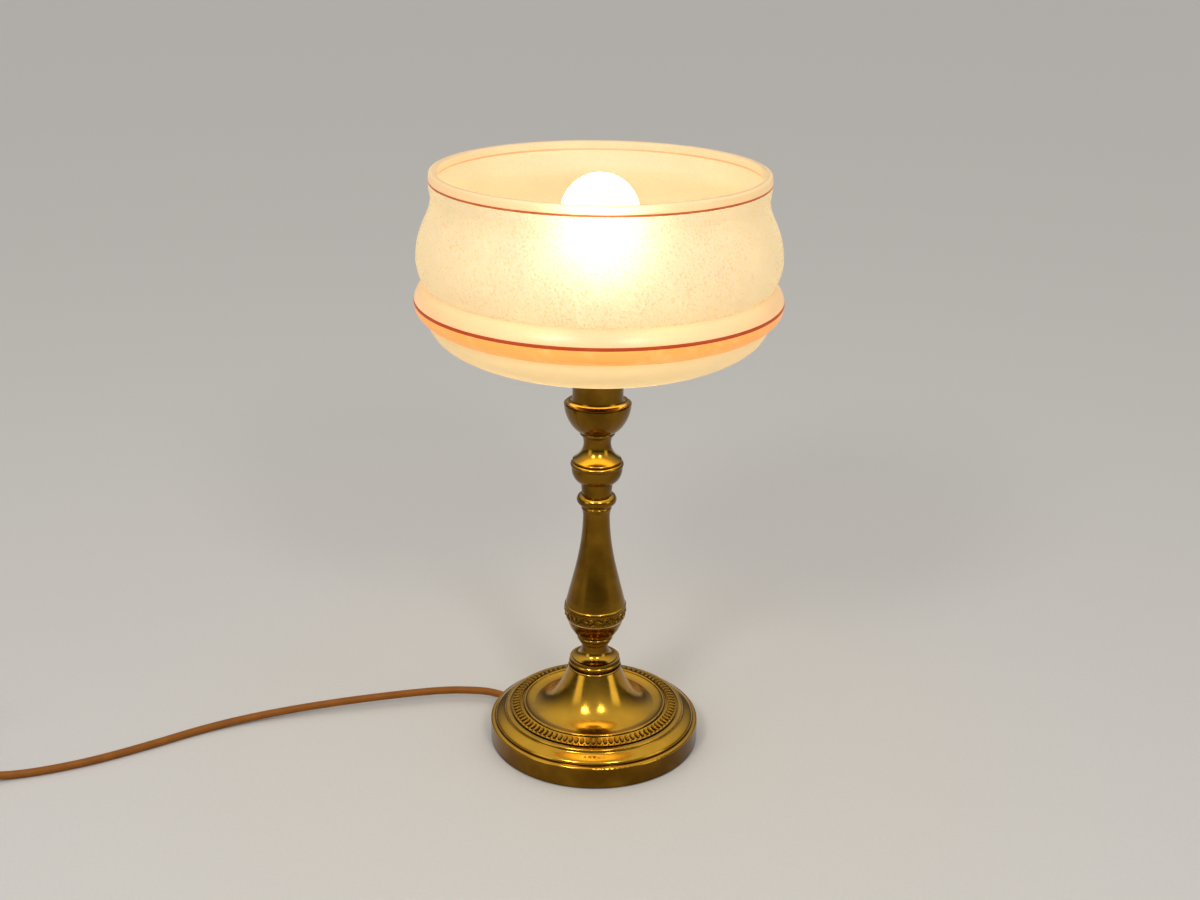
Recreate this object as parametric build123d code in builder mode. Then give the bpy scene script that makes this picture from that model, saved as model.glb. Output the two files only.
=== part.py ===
"""Candlestick table lamp: cast foot, turned stem, pressed glass shade, bulb, flex with switch and plug."""

import os
from math import atan, cos, degrees, pi, radians, sin, sqrt, tan

from build123d import *

os.makedirs("parts", exist_ok=True)

# Driving dimensions in millimetres. Radii run from the lamp's axis outwards, heights run upwards.

# Fits
rod_clearance = 0.15
thread_clearance = 0.05
loose_clearance = 0.3

# Foot, from the bell outwards
bell_top_radius = 21.5
bell_flare = 28.5
dish_width = 7.3
lip_width = 2.5
lip_groove_width = 1.4
band_width = 8.6
line_groove_width = 1.6
bead_width = 3.4
ogee_width = 8.6
edge_groove_width = 0.8
edge_land = 1.3
edge_round = 1.8

# Foot, from the table upwards
felt_thickness = 2.0
felt_recess = 1.0
wall_height = 16.5
ogee_step = 0.5
ogee_height = 6.8
bead_height = 2.0
band_step = 0.8
band_rise = 2.9
lip_rise = 1.0
dish_depth = 3.0
bell_height = 35.2
groove_depth = 0.8
thin_ring_height = 1.8
collar_groove_height = 1.6
collar_ring_height = 3.2
collar_top_height = 1.1
ring_bulge = 0.7

# Foot, inside
wall_thickness = 2.5
ledge_width = 4.3
ledge_drop = 3.0
shell_thickness = 2.9
web_thickness = 5.5
clamp_seat_width = 9.0
ballast_bore_radius = 34.0
clamp_disc_thickness = 2.5
clamp_disc_radius = 52.0
washer_thickness = 1.0
washer_radius = 9.5
tag_thickness = 0.8
tag_ring_radius = 8.6
tag_length = 18.0
tag_width = 6.0
nut_height = 6.0
nut_across_flats = 17.0

# Threaded rod
rod_radius = 5.0
rod_bore_radius = 3.5
rod_stand_out = 1.6

# Lower neck
foot_disc_radius = 20.6
foot_disc_height = 1.5
foot_disc_step = 2.0
foot_groove_depth = 1.0
foot_groove_height = 0.6
lower_neck_radius = 10.9
lower_neck_sweep = 10.0
lower_neck_length = 4.5
lower_step_radius = 12.8
lower_step_height = 1.8
lower_collar_radius = 14.8
lower_collar_height = 4.6

# Bowl and baluster
bowl_foot_radius = 15.2
bowl_radius = 25.0
bowl_height = 26.4
ridge_bulge = 0.8
ridge_height = 2.4
baluster_shoulder_radius = 24.7
baluster_neck_radius = 10.9
baluster_height = 76.9
baluster_flare_height = 6.4
baluster_flare = 0.8
neck_ring_height = 3.3
neck_ring_bulge = 0.6

# Bead ring
bead_ring_radius = 16.15
bead_ring_neck_radius = 12.1
bead_ring_height = 9.0
bead_ring_foot = 1.2
bead_ring_top = 1.8

# Knop
knop_neck_radius = 13.0
knop_neck_height = 8.6
knop_foot_radius = 15.5
knop_foot_height = 1.0
knop_radius = 21.0
knop_height = 12.6
knop_edge_height = 3.8
knop_edge_bulge = 0.4

# Upper neck
upper_disc_radius = 19.9
upper_disc_height = 2.4
upper_neck_radius = 11.0
upper_neck_sweep = 13.6
upper_neck_length = 7.0
upper_neck_flare = 1.9
upper_ring_radius = 14.3
upper_ring_height = 3.0

# Cup
cup_foot_radius = 14.6
cup_radius = 26.8
cup_height = 23.2
cup_wall = 2.4
cup_floor = 7.0
cup_floor_radius = 17.5
stem_washer_radius = 11.0
stem_washer_thickness = 1.2

# Candle sleeve and its cover plate
cover_radius = 25.4
cover_thickness = 1.2
sleeve_radius = 20.2
sleeve_wall = 1.8
sleeve_height = 32.8
sleeve_flare_height = 4.6

# Shade carrier and cushions
carrier_radius = 36.0
carrier_thickness = 1.5
cushion_thickness = 1.5
cushion_inner_radius = 23.0
cushion_width = 11.0

# Glass shade, heights above its seat
glass_wall = 4.0
shade_hole_clearance = 1.2
shade_floor_radius = 45.0
shade_foot_radius = 132.7
shade_foot_height = 37.1
shade_foot_step = 1.0
shade_belly_radius = 132.5
shade_belly_height = 9.9
shade_bottom_reach = 21.7
band_bulge = 2.8
ridge_radius = 142.0
ridge_line_height = 51.6
ridge_fold = 1.4
shoulder_bulge = 1.2
seam_radius = 134.3
seam_height = 64.4
swell_bulge = 0.95
bulge_radius = 139.7
bulge_height = 82.1
bulge_reach = 25.9
throat_radius = 127.5
throat_height = 129.9
throat_reach = 16.0
rim_flare = 1.1
rim_bulge = 0.7
rim_wall = 6.0
rim_round = 2.0
shade_height = 148.6

# Lampholder
holder_radius = 19.8
mantle_wall = 2.4
holder_floor = 2.0
holder_boss_radius = 8.0
holder_boss_height = 6.5
spigot_wall = 1.5
spigot_height = 21.5
core_height = 16.0
core_bore_radius = 3.0
shell_wall = 0.6
shell_height = 21.0
shell_flange_width = 2.4
shell_clearance = 0.4
mantle_above_core = 31.0
mantle_lip = 2.0
mantle_mouth_radius = 15.4
contact_height = 3.0
contact_strip = 0.6
contact_width = 4.0
contact_length = 9.0
shade_ring_radius = 29.5
shade_ring_height = 6.5
shade_ring_chamfer = 2.0
terminal_reach = 9.0
terminal_size = 5.0
terminal_height = 6.5
terminal_screw_radius = 1.4
terminal_screw_head_radius = 2.2
terminal_screw_length = 3.0
terminal_screw_head = 1.2

# Bulb
bulb_length = 105.0
globe_radius = 30.0
bulb_glass_wall = 0.8
bulb_neck_radius = 13.2
globe_join_angle = 35.0
tip_radius = 4.6
tip_flat_radius = 2.6
tip_height = 2.4
tip_spigot_radius = 2.5
tip_spigot_height = 2.6
insulator_radius = 11.2
insulator_height = 5.6
insulator_cone_height = 4.6
cap_thread_radius = 13.1
cap_root_radius = 12.0
cap_lead = 3.62
cap_thread_turns = 3
cap_inner_radius = 11.3
cap_rim_radius = 13.95
cap_rim_wall = 0.6
cap_rim_height = 8.4
cap_foot_height = 1.2
neck_depth_in_rim = 6.5
stem_flange_height = 0.8
stem_foot_radius = 6.0
stem_top_radius = 3.6
stem_height = 26.0
filament_wire_radius = 0.4
filament_half_span = 9.0
filament_foot_half_span = 2.2
filament_height = 30.0

# Flex and wiring
cord_radius = 3.25
cord_gap = 0.1
arc_share = 0.45
exit_bearing = 149.0
exit_height = 8.3
core_radius = 1.1
core_spacing = 1.3
core_drop = 0.7
earth_rise = 1.5
core_bend = 8.0
core_top_bend = 3.0
core_top_gap = 1.2
sheath_end_radius = 22.0
earth_post_radius = 16.0
bushing_nose = 4.0
bushing_nose_radius = 4.5
bushing_flange_radius = 6.6
bushing_neck_radius = 4.8
bushing_inner_flange_radius = 5.9
bushing_inner_flange = 1.5
bushing_tail = 19.0
bushing_tail_radius = 5.0
bushing_tail_end_radius = 4.2

# Inline switch, lying on the table
switch_length = 66.0
switch_width = 28.0
switch_corner = 9.0
switch_base_height = 8.5
switch_cover_height = 10.5
switch_wall = 1.8
switch_edge_round = 2.5
cord_in_switch = 12.0
rocker_length = 20.4
rocker_width = 11.4
rocker_pivot_height = 15.6
rocker_crown = 2.6
rocker_end_rise = 1.4
rocker_depth = 2.6
rocker_foot = 8.0
rocker_throw = 14.0
rocker_pin_radius = 1.2
rocker_pin_clearance = 0.05
rocker_lug = 2.4
switch_screw_spread = 46.0
switch_screw_offset = 8.0
switch_boss_radius = 3.2
switch_screw_radius = 1.45
switch_screw_head_radius = 2.6
switch_screw_head = 1.6
switch_screw_sink = 0.4
switch_terminal_spread = 22.0
switch_terminal_offset = 7.5
switch_terminal_size = 5.0

# Coil of the spare flex
coil_pitch = 7.0
coil_inner_radius = 25.0
coil_quarter_turns = 22
coil_lift = 1.0
tie_bearing = 20.0
tie_width = 8.0
tie_thickness = 0.8
tie_clearance = 0.15
tie_side_clearance = 0.6

# Plug
plug_radius = 18.5
plug_nose_radius = 4.6
plug_nose = 18.0
plug_shoulder_radius = 7.0
plug_grip_radius = 9.5
plug_grip = 18.0
plug_front = 19.0
plug_front_round = 1.5
cord_in_plug = 12.0
pin_radius = 2.4
pin_length = 19.0
pin_root_radius = 3.0
pin_embed = 6.0
pin_spacing = 19.0
pin_round = 1.0
clip_width = 7.0
clip_thickness = 1.0
clip_length = 15.0
clip_depth = 2.0

# Route of the flex across the table: plan position and height of its middle
lead_points = [
    (-95.5, 54.7, 8.6),
    (-110.5, 55.7, 8.9),
    (-130.0, 55.0, 9.1),
    (-157.0, 50.0, 9.0),
    (-200.0, 39.4, 8.5),
    (-246.0, 27.4, 6.9),
    (-291.0, 13.0, 4.7),
    (-331.0, -6.5, 3.5),
    (-369.0, -33.6, 3.3),
    (-408.0, -58.7, 3.3),
    (-440.0, -73.6, 3.3),
    (-466.0, -82.4, 3.4),
    (-486.0, -88.4, 6.0),
]
exit_run = 9.5
switch_start = (-508.9, -95.1)
switch_bearing = 196.0
switch_run = 9.0
link_runs = [10.0, 25.0, 39.0]
link_dip = 5.2
link_length = 44.0
tail_runs = [8.0, 22.0, 35.0]
tail_climb = 14.4
tail_length = 44.0

# Derived radii of the foot
bell_foot_radius = bell_top_radius + bell_flare
lip_inner_radius = bell_foot_radius + dish_width
lip_outer_radius = lip_inner_radius + lip_width
band_inner_radius = lip_outer_radius + lip_groove_width
band_outer_radius = band_inner_radius + band_width
bead_inner_radius = band_outer_radius + line_groove_width
bead_outer_radius = bead_inner_radius + bead_width
ogee_outer_radius = bead_outer_radius + ogee_width
edge_inner_radius = ogee_outer_radius + edge_groove_width
edge_outer_radius = edge_inner_radius + edge_land
wall_radius = edge_outer_radius + edge_round
cavity_radius = wall_radius - wall_thickness

# Derived heights of the foot
foot_bottom = felt_thickness - felt_recess
wall_top = foot_bottom + wall_height
edge_top = wall_top + edge_round
ogee_bottom = edge_top + ogee_step
ogee_top = ogee_bottom + ogee_height
bead_top = ogee_top + bead_height
band_outer_top = bead_top + band_step
band_inner_top = band_outer_top + band_rise
lip_top = band_inner_top + lip_rise
dish_floor = lip_top - dish_depth
bell_top = dish_floor + bell_height
thin_ring_top = bell_top + thin_ring_height
collar_groove_top = thin_ring_top + collar_groove_height
collar_ring_top = collar_groove_top + collar_ring_height
foot_top = collar_ring_top + collar_top_height
ledge_height = wall_top - ledge_drop
clamp_seat = dish_floor - shell_thickness
clamp_disc_bottom = clamp_seat - clamp_disc_thickness
tag_top = clamp_disc_bottom - washer_thickness
tag_bottom = tag_top - tag_thickness
rod_nut_bottom = tag_bottom - nut_height
rod_bottom = rod_nut_bottom - rod_stand_out

# Derived heights of the stem
lower_neck_narrow = foot_top + foot_disc_height + lower_neck_sweep
lower_step_bottom = lower_neck_narrow + lower_neck_length
lower_step_top = lower_step_bottom + lower_step_height
lower_neck_top = lower_step_top + lower_collar_height
bowl_top = lower_neck_top + bowl_height
ridge_top = bowl_top + ridge_height
baluster_narrow = ridge_top + baluster_height
neck_ring_bottom = baluster_narrow + baluster_flare_height
baluster_top = neck_ring_bottom + neck_ring_height
bead_ring_top_height = baluster_top + bead_ring_foot + bead_ring_height + bead_ring_top
knop_foot = bead_ring_top_height + knop_neck_height
knop_edge = knop_foot + knop_foot_height + knop_height
knop_top = knop_edge + knop_edge_height
upper_disc_top = knop_top + upper_disc_height
upper_neck_narrow = upper_disc_top + upper_neck_sweep
upper_ring_bottom = upper_neck_narrow + upper_neck_length
upper_neck_top = upper_ring_bottom + upper_ring_height
cup_inside = upper_neck_top + cup_floor
cup_top = upper_neck_top + cup_height
stem_nut_bottom = cup_inside + stem_washer_thickness
sleeve_top = cup_top + sleeve_height
carrier_top = sleeve_top + carrier_thickness
shade_seat = carrier_top + cushion_thickness

# Derived heights of the lampholder and the bulb
holder_floor_top = carrier_top + holder_floor
rod_top = holder_floor_top + holder_boss_height
spigot_top = holder_floor_top + spigot_height
core_top = spigot_top + core_height
mantle_top = core_top + mantle_above_core
mantle_inner_radius = holder_radius - mantle_wall
contact_top = core_top + contact_height
bulb_tip = contact_top
tip_top = bulb_tip + tip_height
insulator_top = tip_top + insulator_height
cap_bottom = tip_top + insulator_cone_height
cap_thread_bottom = cap_bottom + cap_foot_height
cap_rim_bottom = cap_thread_bottom + cap_lead * cap_thread_turns
cap_top = cap_rim_bottom + cap_rim_height
bulb_neck_bottom = cap_top - neck_depth_in_rim
globe_centre = bulb_tip + bulb_length - globe_radius
shell_inner_radius = cap_thread_radius + shell_clearance
shell_outer_radius = shell_inner_radius + shell_wall
bore_radius = rod_radius + rod_clearance
thread_radius = rod_radius + thread_clearance
shade_hole_radius = holder_radius + shade_hole_clearance
rim_radius = throat_radius + rim_flare
ring_seat = shade_seat + glass_wall + cushion_thickness


def finish(part, name):
    """Labels a finished piece and writes its file."""
    part.part.label = name
    export_step(part.part, f"parts/{name}.step")


def bearing(angle):
    """Unit vector in plan at an angle from +X."""
    return Vector(cos(radians(angle)), sin(radians(angle)), 0)


# Felt pad under the foot
with BuildPart() as felt_pad:
    with BuildSketch():
        Circle(cavity_radius - loose_clearance)
    extrude(amount=felt_thickness)
finish(felt_pad, "felt_pad")

# Foot: wall, ogee, bead, band, lip, dish and bell, hollow underneath
exit_direction = bearing(exit_bearing)
exit_axis = Plane(origin=(0, 0, exit_height), x_dir=(0, 0, 1), z_dir=exit_direction)
with BuildPart() as base_foot:
    with BuildSketch(Plane.XZ):
        with BuildLine():
            Line((cavity_radius, foot_bottom), (wall_radius, foot_bottom))
            Line((wall_radius, foot_bottom), (wall_radius, wall_top))
            RadiusArc((wall_radius, wall_top), (edge_outer_radius, edge_top), -edge_round)
            ogee_middle = ((ogee_outer_radius + bead_outer_radius) / 2, (ogee_bottom + ogee_top) / 2)
            Polyline(
                (edge_outer_radius, edge_top),
                (edge_inner_radius, edge_top),
                (edge_inner_radius, edge_top - groove_depth / 2),
                (ogee_outer_radius, edge_top - groove_depth / 2),
                (ogee_outer_radius, ogee_bottom),
            )
            Bezier(
                (ogee_outer_radius, ogee_bottom),
                (ogee_outer_radius, ogee_middle[1]),
                (ogee_middle[0], ogee_middle[1]),
                (ogee_middle[0] - ogee_width / 4, ogee_middle[1] + ogee_height / 4),
                (bead_outer_radius, ogee_middle[1] + ogee_height / 4),
                (bead_outer_radius, ogee_top),
            )
            bead_crest = (bead_inner_radius + 0.6 * bead_width, bead_top)
            ThreePointArc(
                (bead_outer_radius, ogee_top),
                (bead_outer_radius - 0.1 * bead_width, bead_top - 0.2 * bead_height),
                bead_crest,
            )
            Polyline(
                bead_crest,
                (bead_inner_radius, bead_top),
                (bead_inner_radius, bead_top - groove_depth),
                (band_outer_radius, bead_top - groove_depth),
                (band_outer_radius, band_outer_top),
                (band_inner_radius, band_inner_top),
                (band_inner_radius, band_inner_top - groove_depth),
                (lip_outer_radius, band_inner_top - groove_depth),
                (lip_outer_radius, lip_top - lip_width / 2),
            )
            ThreePointArc(
                (lip_outer_radius, lip_top - lip_width / 2),
                (lip_outer_radius - lip_width / 2, lip_top),
                (lip_inner_radius, lip_top - lip_width / 2),
            )
            Bezier(
                (lip_inner_radius, lip_top - lip_width / 2),
                (lip_inner_radius - dish_width / 3, dish_floor),
                (bell_foot_radius, dish_floor),
            )
            Bezier(
                (bell_foot_radius, dish_floor),
                (bell_top_radius + 0.44 * bell_flare, dish_floor + 0.1 * bell_height),
                (bell_top_radius + 0.21 * bell_flare, dish_floor + 0.56 * bell_height),
                (bell_top_radius, bell_top),
            )
            ThreePointArc(
                (bell_top_radius, bell_top),
                (bell_top_radius + ring_bulge, (bell_top + thin_ring_top) / 2),
                (bell_top_radius - ring_bulge, thin_ring_top),
            )
            Polyline(
                (bell_top_radius - ring_bulge, thin_ring_top),
                (bell_top_radius - 2 * ring_bulge, thin_ring_top),
                (bell_top_radius - 2 * ring_bulge, collar_groove_top),
                (bell_top_radius - ring_bulge, collar_groove_top),
            )
            ThreePointArc(
                (bell_top_radius - ring_bulge, collar_groove_top),
                (bell_top_radius, (collar_groove_top + collar_ring_top) / 2),
                (bell_top_radius - ring_bulge, collar_ring_top),
            )
            roof_radius = cavity_radius - ledge_width
            seat_radius = bell_foot_radius + dish_width / 2
            Polyline(
                (bell_top_radius - ring_bulge, collar_ring_top),
                (bell_top_radius - 2 * ring_bulge, collar_ring_top),
                (bell_top_radius - 2 * ring_bulge, foot_top),
                (bore_radius, foot_top),
                (bore_radius, bell_top - web_thickness),
                (bell_top_radius - shell_thickness, bell_top - web_thickness),
            )
            Bezier(
                (bell_top_radius - shell_thickness, bell_top - web_thickness),
                (bell_top_radius + 0.14 * bell_flare, clamp_seat + 0.58 * bell_height),
                (bell_top_radius + 0.33 * bell_flare, clamp_seat + 0.1 * bell_height),
                (seat_radius - clamp_seat_width, clamp_seat),
            )
            Polyline(
                (seat_radius - clamp_seat_width, clamp_seat),
                (seat_radius, clamp_seat),
                (band_outer_radius, bead_top - groove_depth - shell_thickness),
                (roof_radius, edge_top - shell_thickness),
                (roof_radius, ledge_height),
                (cavity_radius, ledge_height),
                (cavity_radius, foot_bottom),
            )
        make_face()
    revolve(axis=Axis.Z)
    with BuildSketch(exit_axis):
        Circle(bushing_neck_radius + cord_gap)
    extrude(amount=wall_radius + bushing_nose, mode=Mode.SUBTRACT)
finish(base_foot, "base_foot")

# Ballast ring, slotted for the flex and its bushing
with BuildPart() as ballast_ring:
    with BuildSketch(Plane.XY.offset(felt_thickness)):
        Circle(cavity_radius - loose_clearance)
        Circle(ballast_bore_radius, mode=Mode.SUBTRACT)
    extrude(amount=ledge_height - felt_thickness)
    with BuildSketch(exit_axis):
        Rectangle(2 * wall_height + 2 * felt_thickness, 2 * (bushing_inner_flange_radius + loose_clearance))
    extrude(amount=wall_radius, mode=Mode.SUBTRACT)
finish(ballast_ring, "ballast_ring")

# Clamp disc, lock washer, earth tag and nut at the rod's lower end
with BuildPart() as clamp_disc:
    with BuildSketch(Plane.XY.offset(clamp_disc_bottom)):
        Circle(clamp_disc_radius)
        Circle(bore_radius, mode=Mode.SUBTRACT)
    extrude(amount=clamp_disc_thickness)
finish(clamp_disc, "clamp_disc")

with BuildPart() as lock_washer:
    with BuildSketch(Plane.XY.offset(tag_top)):
        Circle(washer_radius)
        Circle(bore_radius, mode=Mode.SUBTRACT)
    extrude(amount=washer_thickness)
finish(lock_washer, "lock_washer")

with BuildPart() as earth_tag:
    with BuildSketch(Plane(origin=(0, 0, tag_bottom), x_dir=exit_direction)):
        Circle(tag_ring_radius)
        with Locations((tag_length / 2, 0)):
            Rectangle(tag_length, tag_width)
        Circle(bore_radius, mode=Mode.SUBTRACT)
    extrude(amount=tag_thickness)
finish(earth_tag, "earth_tag")

with BuildPart() as rod_nut:
    with BuildSketch(Plane.XY.offset(rod_nut_bottom)):
        RegularPolygon(nut_across_flats / 2, 6, major_radius=False)
        Circle(thread_radius, mode=Mode.SUBTRACT)
    extrude(amount=nut_height)
finish(rod_nut, "rod_nut")

# Hollow rod that strings the foot, the stem and the lampholder together
with BuildPart() as threaded_rod:
    with BuildSketch(Plane.XY.offset(rod_bottom)):
        Circle(rod_radius)
        Circle(rod_bore_radius, mode=Mode.SUBTRACT)
    extrude(amount=rod_top - rod_bottom)
finish(threaded_rod, "threaded_rod")

# Lower neck: thin disc, hollowed neck and round collar
with BuildPart() as lower_neck:
    with BuildSketch(Plane.XZ):
        with BuildLine():
            disc_top = foot_top + foot_disc_height
            flare_edge_radius = foot_disc_radius - foot_disc_step
            groove_radius = flare_edge_radius - foot_groove_depth
            groove_top = disc_top + foot_groove_height
            disc_overhang = flare_edge_radius - lower_neck_radius
            Polyline(
                (bore_radius, foot_top),
                (foot_disc_radius, foot_top),
                (foot_disc_radius, disc_top),
                (groove_radius, disc_top),
                (groove_radius, groove_top),
                (flare_edge_radius, groove_top),
            )
            Bezier(
                (flare_edge_radius, groove_top),
                (lower_neck_radius + 0.27 * disc_overhang, disc_top + 0.15 * lower_neck_sweep),
                (lower_neck_radius, disc_top + 0.48 * lower_neck_sweep),
                (lower_neck_radius, lower_neck_narrow),
            )
            neck_lip = lower_neck_radius + (lower_step_radius - lower_neck_radius) / 3
            Bezier(
                (lower_neck_radius, lower_neck_narrow),
                (lower_neck_radius, (lower_neck_narrow + lower_step_bottom) / 2),
                (neck_lip, lower_step_bottom),
            )
            Polyline(
                (neck_lip, lower_step_bottom),
                (lower_step_radius, lower_step_bottom),
                (lower_step_radius, lower_step_top),
            )
            ThreePointArc(
                (lower_step_radius, lower_step_top),
                (lower_collar_radius, lower_step_top + lower_collar_height / 2),
                (lower_step_radius, lower_neck_top),
            )
            Polyline(
                (lower_step_radius, lower_neck_top),
                (bore_radius, lower_neck_top),
                (bore_radius, foot_top),
            )
        make_face()
    revolve(axis=Axis.Z)
finish(lower_neck, "lower_neck")

# Bowl of the stem, which carries the leaf band below its upper edge
with BuildPart() as stem_bowl:
    with BuildSketch(Plane.XZ):
        with BuildLine():
            bowl_swell = bowl_radius - bowl_foot_radius
            Line((bore_radius, lower_neck_top), (bowl_foot_radius, lower_neck_top))
            Bezier(
                (bowl_foot_radius, lower_neck_top),
                (bowl_foot_radius + 0.41 * bowl_swell, lower_neck_top + 0.14 * bowl_height),
                (bowl_radius - 0.04 * bowl_swell, lower_neck_top + 0.5 * bowl_height),
                (bowl_radius, bowl_top),
            )
            Polyline((bowl_radius, bowl_top), (bore_radius, bowl_top), (bore_radius, lower_neck_top))
        make_face()
    revolve(axis=Axis.Z)
finish(stem_bowl, "stem_bowl")

# Baluster: ridge at its shoulder, long taper, flare and neck ring
with BuildPart() as baluster:
    with BuildSketch(Plane.XZ):
        with BuildLine():
            taper = baluster_shoulder_radius - baluster_neck_radius
            neck_ring_radius = baluster_neck_radius + baluster_flare
            Line((bore_radius, bowl_top), (baluster_shoulder_radius, bowl_top))
            ThreePointArc(
                (baluster_shoulder_radius, bowl_top),
                (baluster_shoulder_radius + ridge_bulge, bowl_top + ridge_height / 2),
                (baluster_shoulder_radius, ridge_top),
            )
            Bezier(
                (baluster_shoulder_radius, ridge_top),
                (baluster_neck_radius + 0.51 * taper, ridge_top + 0.365 * baluster_height),
                (baluster_neck_radius + 0.05 * taper, ridge_top + 0.62 * baluster_height),
                (baluster_neck_radius, baluster_narrow),
            )
            Bezier(
                (baluster_neck_radius, baluster_narrow),
                (baluster_neck_radius, (baluster_narrow + neck_ring_bottom) / 2),
                (neck_ring_radius, neck_ring_bottom),
            )
            ThreePointArc(
                (neck_ring_radius, neck_ring_bottom),
                (neck_ring_radius + neck_ring_bulge, (neck_ring_bottom + baluster_top) / 2),
                (neck_ring_radius, baluster_top),
            )
            Polyline((neck_ring_radius, baluster_top), (bore_radius, baluster_top), (bore_radius, bowl_top))
        make_face()
    revolve(axis=Axis.Z)
finish(baluster, "baluster")

# Bead ring
with BuildPart() as bead_ring:
    with BuildSketch(Plane.XZ):
        with BuildLine():
            bead_start = baluster_top + bead_ring_foot
            bead_end = bead_start + bead_ring_height
            Polyline(
                (bore_radius, baluster_top),
                (bead_ring_neck_radius, baluster_top),
                (bead_ring_neck_radius, bead_start),
            )
            ThreePointArc(
                (bead_ring_neck_radius, bead_start),
                (bead_ring_radius, (bead_start + bead_end) / 2),
                (bead_ring_neck_radius, bead_end),
            )
            Polyline(
                (bead_ring_neck_radius, bead_end),
                (bead_ring_neck_radius, bead_ring_top_height),
                (bore_radius, bead_ring_top_height),
                (bore_radius, baluster_top),
            )
        make_face()
    revolve(axis=Axis.Z)
finish(bead_ring, "bead_ring")

# Knop: short neck, rounded underside and disc edge
with BuildPart() as knop:
    with BuildSketch(Plane.XZ):
        with BuildLine():
            underside = knop_foot + knop_foot_height
            knop_swell = knop_radius - knop_foot_radius
            Polyline(
                (bore_radius, bead_ring_top_height),
                (bead_ring_neck_radius, bead_ring_top_height),
                (knop_neck_radius, knop_foot),
                (knop_foot_radius, underside),
            )
            Bezier(
                (knop_foot_radius, underside),
                (knop_foot_radius + 0.5 * knop_swell, underside + 0.15 * knop_height),
                (knop_radius, underside + 0.5 * knop_height),
                (knop_radius - 0.1 * knop_swell, knop_edge),
            )
            ThreePointArc(
                (knop_radius - 0.1 * knop_swell, knop_edge),
                (knop_radius + knop_edge_bulge, knop_edge + knop_edge_height / 2),
                (knop_radius - 0.2 * knop_swell, knop_top),
            )
            Polyline(
                (knop_radius - 0.2 * knop_swell, knop_top),
                (bore_radius, knop_top),
                (bore_radius, bead_ring_top_height),
            )
        make_face()
    revolve(axis=Axis.Z)
finish(knop, "knop")

# Upper neck: disc, hollowed neck and ring
with BuildPart() as upper_neck:
    with BuildSketch(Plane.XZ):
        with BuildLine():
            neck_depth = upper_disc_radius - upper_neck_radius
            flare_radius = upper_neck_radius + upper_neck_flare
            disc_edge = upper_disc_height / 3
            Line((bore_radius, knop_top), (upper_disc_radius - disc_edge, knop_top))
            ThreePointArc(
                (upper_disc_radius - disc_edge, knop_top),
                (upper_disc_radius, knop_top + upper_disc_height / 2),
                (upper_disc_radius - disc_edge, upper_disc_top),
            )
            Bezier(
                (upper_disc_radius - disc_edge, upper_disc_top),
                (upper_neck_radius + 0.52 * neck_depth, upper_disc_top + 0.16 * upper_neck_sweep),
                (upper_neck_radius, upper_disc_top + 0.52 * upper_neck_sweep),
                (upper_neck_radius, upper_neck_narrow),
            )
            Bezier(
                (upper_neck_radius, upper_neck_narrow),
                (upper_neck_radius, (upper_neck_narrow + upper_ring_bottom) / 2),
                (flare_radius, upper_ring_bottom),
            )
            ThreePointArc(
                (flare_radius, upper_ring_bottom),
                (upper_ring_radius, upper_ring_bottom + upper_ring_height / 2),
                (flare_radius, upper_neck_top),
            )
            Polyline((flare_radius, upper_neck_top), (bore_radius, upper_neck_top), (bore_radius, knop_top))
        make_face()
    revolve(axis=Axis.Z)
finish(upper_neck, "upper_neck")

# Cup, hollow above a thick floor
with BuildPart() as cup:
    with BuildSketch(Plane.XZ):
        with BuildLine():
            cup_swell = cup_radius - cup_foot_radius
            cup_mouth_radius = cup_radius - cup_wall
            inner_swell = cup_mouth_radius - cup_floor_radius
            inner_height = cup_top - cup_inside
            Line((bore_radius, upper_neck_top), (cup_foot_radius, upper_neck_top))
            Bezier(
                (cup_foot_radius, upper_neck_top),
                (cup_foot_radius + 0.4 * cup_swell, upper_neck_top + 0.1 * cup_height),
                (cup_radius - 0.05 * cup_swell, upper_neck_top + 0.48 * cup_height),
                (cup_radius, cup_top),
            )
            Line((cup_radius, cup_top), (cup_mouth_radius, cup_top))
            Bezier(
                (cup_mouth_radius, cup_top),
                (cup_mouth_radius - 0.05 * inner_swell, cup_inside + 0.5 * inner_height),
                (cup_floor_radius + 0.6 * inner_swell, cup_inside + 0.15 * inner_height),
                (cup_floor_radius, cup_inside),
            )
            Polyline((cup_floor_radius, cup_inside), (bore_radius, cup_inside), (bore_radius, upper_neck_top))
        make_face()
    revolve(axis=Axis.Z)
finish(cup, "cup")

# Washer and nut that draw the stem together, hidden in the cup
with BuildPart() as stem_washer:
    with BuildSketch(Plane.XY.offset(cup_inside)):
        Circle(stem_washer_radius)
        Circle(bore_radius, mode=Mode.SUBTRACT)
    extrude(amount=stem_washer_thickness)
finish(stem_washer, "stem_washer")

with BuildPart() as stem_nut:
    with BuildSketch(Plane.XY.offset(stem_nut_bottom)):
        RegularPolygon(nut_across_flats / 2, 6, major_radius=False)
        Circle(thread_radius, mode=Mode.SUBTRACT)
    extrude(amount=nut_height)
finish(stem_nut, "stem_nut")

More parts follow.
